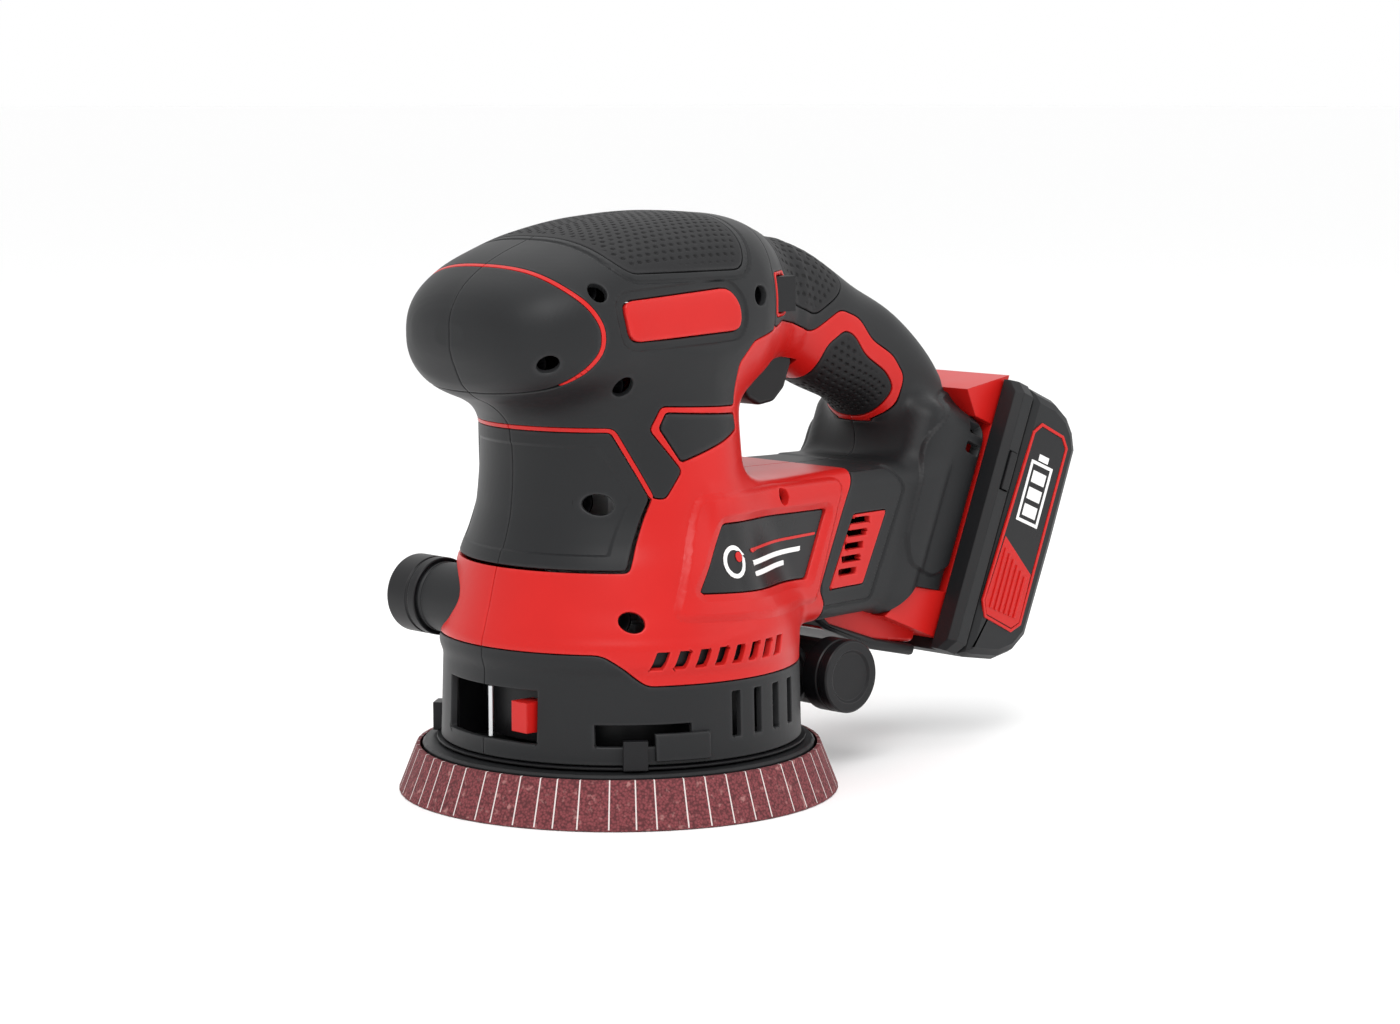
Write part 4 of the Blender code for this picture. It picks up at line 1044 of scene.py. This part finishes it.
def shrink(outline, d):
    """The outline moved inwards by d, for a clockwise or anticlockwise convex outline."""
    pts = np.array(outline, float)
    middle = pts.mean(0)
    out = []
    for a, p, b in zip(np.roll(pts, 1, 0), pts, np.roll(pts, -1, 0)):
        normals = []
        for e in (p - a, b - p):
            n = np.array([e[1], -e[0]]) / np.linalg.norm(e)
            normals.append(n if n @ (middle - p) > 0 else -n)
        total = normals[0] + normals[1]
        out.append(p + total * d / (1 + normals[0] @ normals[1]))
    return out


def band(outer, inner, y0, y1):
    """A flat ring between two outlines with the same number of points."""
    bm = bmesh.new()
    rings = [[bm.verts.new((x, y, z)) for x, z in leaned(o)]
             for o, y in ((outer, y0), (outer, y1), (inner, y1), (inner, y0))]
    for a, b in zip(rings, rings[1:] + rings[:1]):
        for i in range(len(a)):
            j = (i + 1) % len(a)
            bm.faces.new((a[i], a[j], b[j], b[i]))
    return bm


def battery_piece(name, bm, mat, width=0.2, nodes=(), segments=2):
    add_piece(name, bevelled(name, bm, width, segments), mat, "battery", nodes)


def make_battery():
    half = BATTERY_HALF_W
    rings = [[(x, side * y, z) for x, z in leaned(shrink(CASE, d))]
             for side, y, d in ((-1, half, 4.0), (-1, half - 1.2, 1.6), (-1, half - 4, 0),
                                (1, half - 4, 0), (1, half - 1.2, 1.6), (1, half, 4.0))]
    battery_piece("battery_case_skin", loft(rings), "charcoal", 0.5,
                  ["battery_case"])
    ribs = bmesh.new()
    for u in np.arange(101, 166, 5.2):
        corners = [(138.8, u), (140.9, u + 0.9), (140.9, u + 3.1), (138.8, u + 4)]
        prism(leaned(corners), -half + 9, half - 9, ribs)
    battery_piece("battery_back_ribs", ribs, "charcoal", 0.35)
    for side, label in ((-1, "left"), (1, "right")):
        y = side * half
        inner = shrink(LABEL, 1.1)
        battery_piece(f"label_rim_{label}", band(LABEL, inner, y - side * 0.4, y + side * 0.5),
                      "red", 0.15, [f"battery_label_{label}"])
        battery_piece(f"label_panel_{label}",
                      prism(leaned(shrink(LABEL, 1.3)), y - side * 0.4, y + side * 0.2),
                      "gloss", 0.1)
        (va, ua), (vb, ub) = LABEL_SPLIT
        lower = [(va, ua), (vb, ub), (132, 99.4), (128.5, 96.3), (113.6, 97.4), (110.9, 102)]
        battery_piece(f"label_field_{label}",
                      prism(leaned(lower), y - side * 0.3, y + side * 0.45),
                      "red", 0.15)
        stripes = bmesh.new()
        for v in np.linspace(114.5, 128.5, 6):
            top = ua + (ub - ua) * (v - va) / (vb - va) - 3
            prism(leaned([(v - 0.7, 100), (v + 0.7, 100), (v + 0.7, top), (v - 0.7, top)]),
                  y, y + side * 1.0, stripes)
        battery_piece(f"label_ribs_{label}", stripes, "red", 0.25)
        mark = bmesh.new()
        frame_outer = [(115.5, 134), (128, 134), (128, 157), (115.5, 157)]
        battery_piece(f"label_cell_{label}",
                      band(frame_outer, shrink(frame_outer, 1.2), y, y + side * 0.4),
                      "white", 0.1)
        prism(leaned([(119, 157.6), (124.5, 157.6), (124.5, 160), (119, 160)]), y,
              y + side * 0.4, mark)
        for k in range(3):
            u = 136.6 + 6.3 * k
            prism(leaned([(118, u), (125.5, u), (125.5, u + 4.4), (118, u + 4.4)]), y,
                  y + side * 0.4, mark)
        battery_piece(f"label_mark_{label}", mark, "white", 0.1)


# ---- ports, trigger and liners ----------------------------------------------------------
def make_ports():
    collar = [(12.15, 45), (13.1, 45), (13.4, 45.4), (13.4, 48.2), (12.9, 48.6), (12.9, 49.6),
              (13.4, 50), (13.4, 59), (13, 59.7), (12.3, 60), (10.4, 60), (9.9, 59.6),
              (9.9, 58.8), (12.15, 58.8)]
    spigot = [(9.8, 20), (12, 20), (12, 42.4), (11.6, 42.8), (11.6, 43.6), (12, 44),
              (12, 58.4), (9.8, 58.4)]
    plug = [(0, -37.2), (8.4, -37.2), (9.4, -38.1), (12.2, -38.2), (12.8, -37.6), (12.9, -34.7),
            (12.5, -34.3), (12.5, -33.4), (12.9, -33), (12.9, -26.7), (12.5, -26.2),
            (11.8, -26.1), (11.8, -36.2), (0, -36.2)]
    for name, outline, (x, z), body_name, mat in (
            ("hose_collar", collar, SPIGOT, "collar", "black"),
            ("dust_spigot", spigot, SPIGOT, "housing", "charcoal"),
            ("dust_plug", plug, ELBOW, "plug", "black")):
        solid = turned(outline, "Y", (x, 0, z), 96)
        add_piece(f"{name}_skin", bevelled(f"{name}_skin", solid, 0.15, 2), mat, body_name,
                  [name])


def make_trigger():
    outline = [(48.5, 149), (70, 149), (70.4, 141), (67, 132.5), (62, 128), (54.5, 127),
               (49, 130), (47, 135), (48.2, 141), (46.6, 146)]
    add_piece("trigger_skin", bevelled("trigger_skin", prism(outline, -11.4, 11.4), 1.6, 4),
              "black", "trigger", ["trigger"])


def make_spring():
    """Coil spring over the trigger."""
    low, high, turns, steps, coil_r, wire_r = 150.1, 155.9, 4, 24, 3.4, 0.4
    rings = []
    for k in range(turns * steps + 1):
        a = 2 * math.pi * k / steps
        z = low + (high - low) * k / (turns * steps)
        rings.append([((64 + (coil_r + wire_r * math.cos(b)) * math.cos(a)),
                       (coil_r + wire_r * math.cos(b)) * math.sin(a), z + wire_r * math.sin(b))
                      for b in np.linspace(0, 2 * math.pi, 8, endpoint=False)])
    spring = add_piece("trigger_spring_skin", bevelled("trigger_spring_skin", loft(rings), 0),
                       "steel", "housing", ["trigger_spring"])
    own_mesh(spring)


def make_liners():
    """Dark inner walls that close the view through the air slots and the shroud's window, their
    black a painted shade for the dark inside.
    """
    behind = lambda p: np.minimum(27 - np.abs(p[:, 0] + 7), 7.5 - np.abs(p[:, 2] - 53))
    # painted shade: this black sheet just behind the air slots stands in for the shade inside the
    # housing
    side_pieces("vent_shade_sheet", "black", "black_plastic", behind, nodes=(), lift=-3.0, wall=3.8,
                right=hole(*SPIGOT, PORT_CLEAR))
    arm_plate = lambda p: np.minimum(8.6 - np.abs(p[:, 0] + 23.7), 4.5 - np.abs(p[:, 2] - 24.2))
    side_pieces("clip_arm", "charcoal", "charcoal_plastic", arm_plate, nodes=(), lift=1.6,
                wall=0.2, edge=0.5)
    # painted shade: this black ring and the two side plates stand in for the shade seen through the
    # shroud's window
    ring = turned([(LINER_R, 22), (LINER_R + 1.4, 22), (LINER_R + 1.4, 43), (LINER_R, 43)],
                  "Z", (0, 0, 0), 96)
    for side in (-1, 1):
        box((-52, min(24 * side, 26 * side), 20), (-38, max(24 * side, 26 * side), 43), ring)
    add_piece("window_shade_liner", bevelled("window_shade_liner", ring, 0.3), "black", "housing")


# ---- under the handle's foot ------------------------------------------------------------
def make_belly():
    wedge = [(70, 55.5), (75, 47.5), (98, 41), (120, 37.8), (122.4, 38), (128.9, 54), (110, 60)]
    sole = [(66, 54), (76, 47.5), (100, 37.5), (120.5, 33), (121.8, 36.8), (101, 41.5),
            (77.5, 49.5), (70, 56)]
    for name, outline, half, mat, slot in (("belly", wedge, 22, "red", "red_plastic"),
                                           ("sole", sole, 24, "black", "black_plastic")):
        add_piece(name, bevelled(name, prism(outline, -half, half), 1.4, 3), mat, "housing")


make_housing()
make_shroud()
make_head()
make_handle()
make_screws()
make_battery()
make_belly()
make_ports()
make_trigger()
make_spring()
make_liners()


# ---- carried-over CAD nodes ----------------------------------------------------------------
NODE_FINISH = {
    "red": ("battery_frame", "pad_lock_button"),
    "charcoal": ("battery_base", "dust_elbow", "backing_plate"),
    "black": ("terminal_block", "skirt_ring", "lock_button", "switch_module", "brush_ring",
              "release_button_left", "release_button_right"),
    "steel": ("window_pin", "rotor", "upper_bearing", "lower_bearing",
              "pad_bearing", "pad_spindle", "pad_screw", "screw_base", "screw_arm", "screw_head",
              "screw_handle"),
    "cast": ("motor_can", "bearing_plate", "dust_fan", "eccentric"),
    "foam": ("foam_pad",),
    "abrasive": ("sanding_disc",),
    "cell": ("cell_pack",),
}
for finish_name, names in NODE_FINISH.items():
    for cad_name in names:
        cad_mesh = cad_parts[cad_name].data
        cad_mesh.materials.clear()
        cad_mesh.materials.append(MATERIALS.get(f"cad_{finish_name}") or MATERIALS[finish_name])


# ---- stage, light and camera ---------------------------------------------------------------
def make_stage():
    bm = bmesh.new()
    bmesh.ops.create_grid(bm, x_segments=1, y_segments=1, size=60)
    floor_mesh = bpy.data.meshes.new("floor")
    bm.to_mesh(floor_mesh)
    bm.free()
    mat, tree, shader = new_material("floor_white")
    shader.inputs["Base Color"].default_value = (0.985, 0.985, 0.985, 1)
    shader.inputs["Roughness"].default_value = 0.5
    floor_mesh.materials.append(mat)
    floor = bpy.data.objects.new("floor", floor_mesh)
    floor.location.z = -0.0003
    bpy.context.scene.collection.objects.link(floor)
    world = bpy.data.worlds.new("studio")
    bpy.context.scene.world = world
    world.use_nodes = True
    back = world.node_tree.nodes["Background"]
    back.inputs["Color"].default_value = (1, 1, 1, 1)
    back.inputs["Strength"].default_value = 1.0
    bpy.context.scene.view_settings.view_transform = "Standard"


def area_light(name, place, target, size, power):
    light = bpy.data.lights.new(name, "AREA")
    light.shape = "RECTANGLE"
    light.size, light.size_y = size
    light.energy = power
    obj = bpy.data.objects.new(name, light)
    obj.location = place
    obj.rotation_euler = (Vector(target) - Vector(place)).to_track_quat("-Z", "Y").to_euler()
    bpy.context.scene.collection.objects.link(obj)


def make_camera():
    azimuth, elevation, distance = math.radians(-43.41), math.radians(7.18), 1.12117
    target = Vector((0.01948, -0.01843, 0.09356))
    back = Vector((math.sin(azimuth) * math.cos(elevation),
                   -math.cos(azimuth) * math.cos(elevation), math.sin(elevation)))
    data = bpy.data.cameras.new("camera")
    data.lens, data.sensor_width = 85, 36
    data.clip_start, data.clip_end = 0.01, 200
    camera = bpy.data.objects.new("camera", data)
    camera.location = target + back * distance
    camera.rotation_euler = (-back).to_track_quat("-Z", "Y").to_euler()
    bpy.context.scene.collection.objects.link(camera)
    bpy.context.scene.camera = camera


make_stage()
area_light("key", (-0.9, -0.9, 1.5), (0, 0, 0.1), (0.9, 0.9), 17)
area_light("fill", (0.9, -1.3, 0.7), (0, 0, 0.1), (1.4, 1.0), 4)
area_light("top", (0.2, 0.3, 1.6), (0, 0, 0.1), (1.6, 1.6), 6)
make_camera()
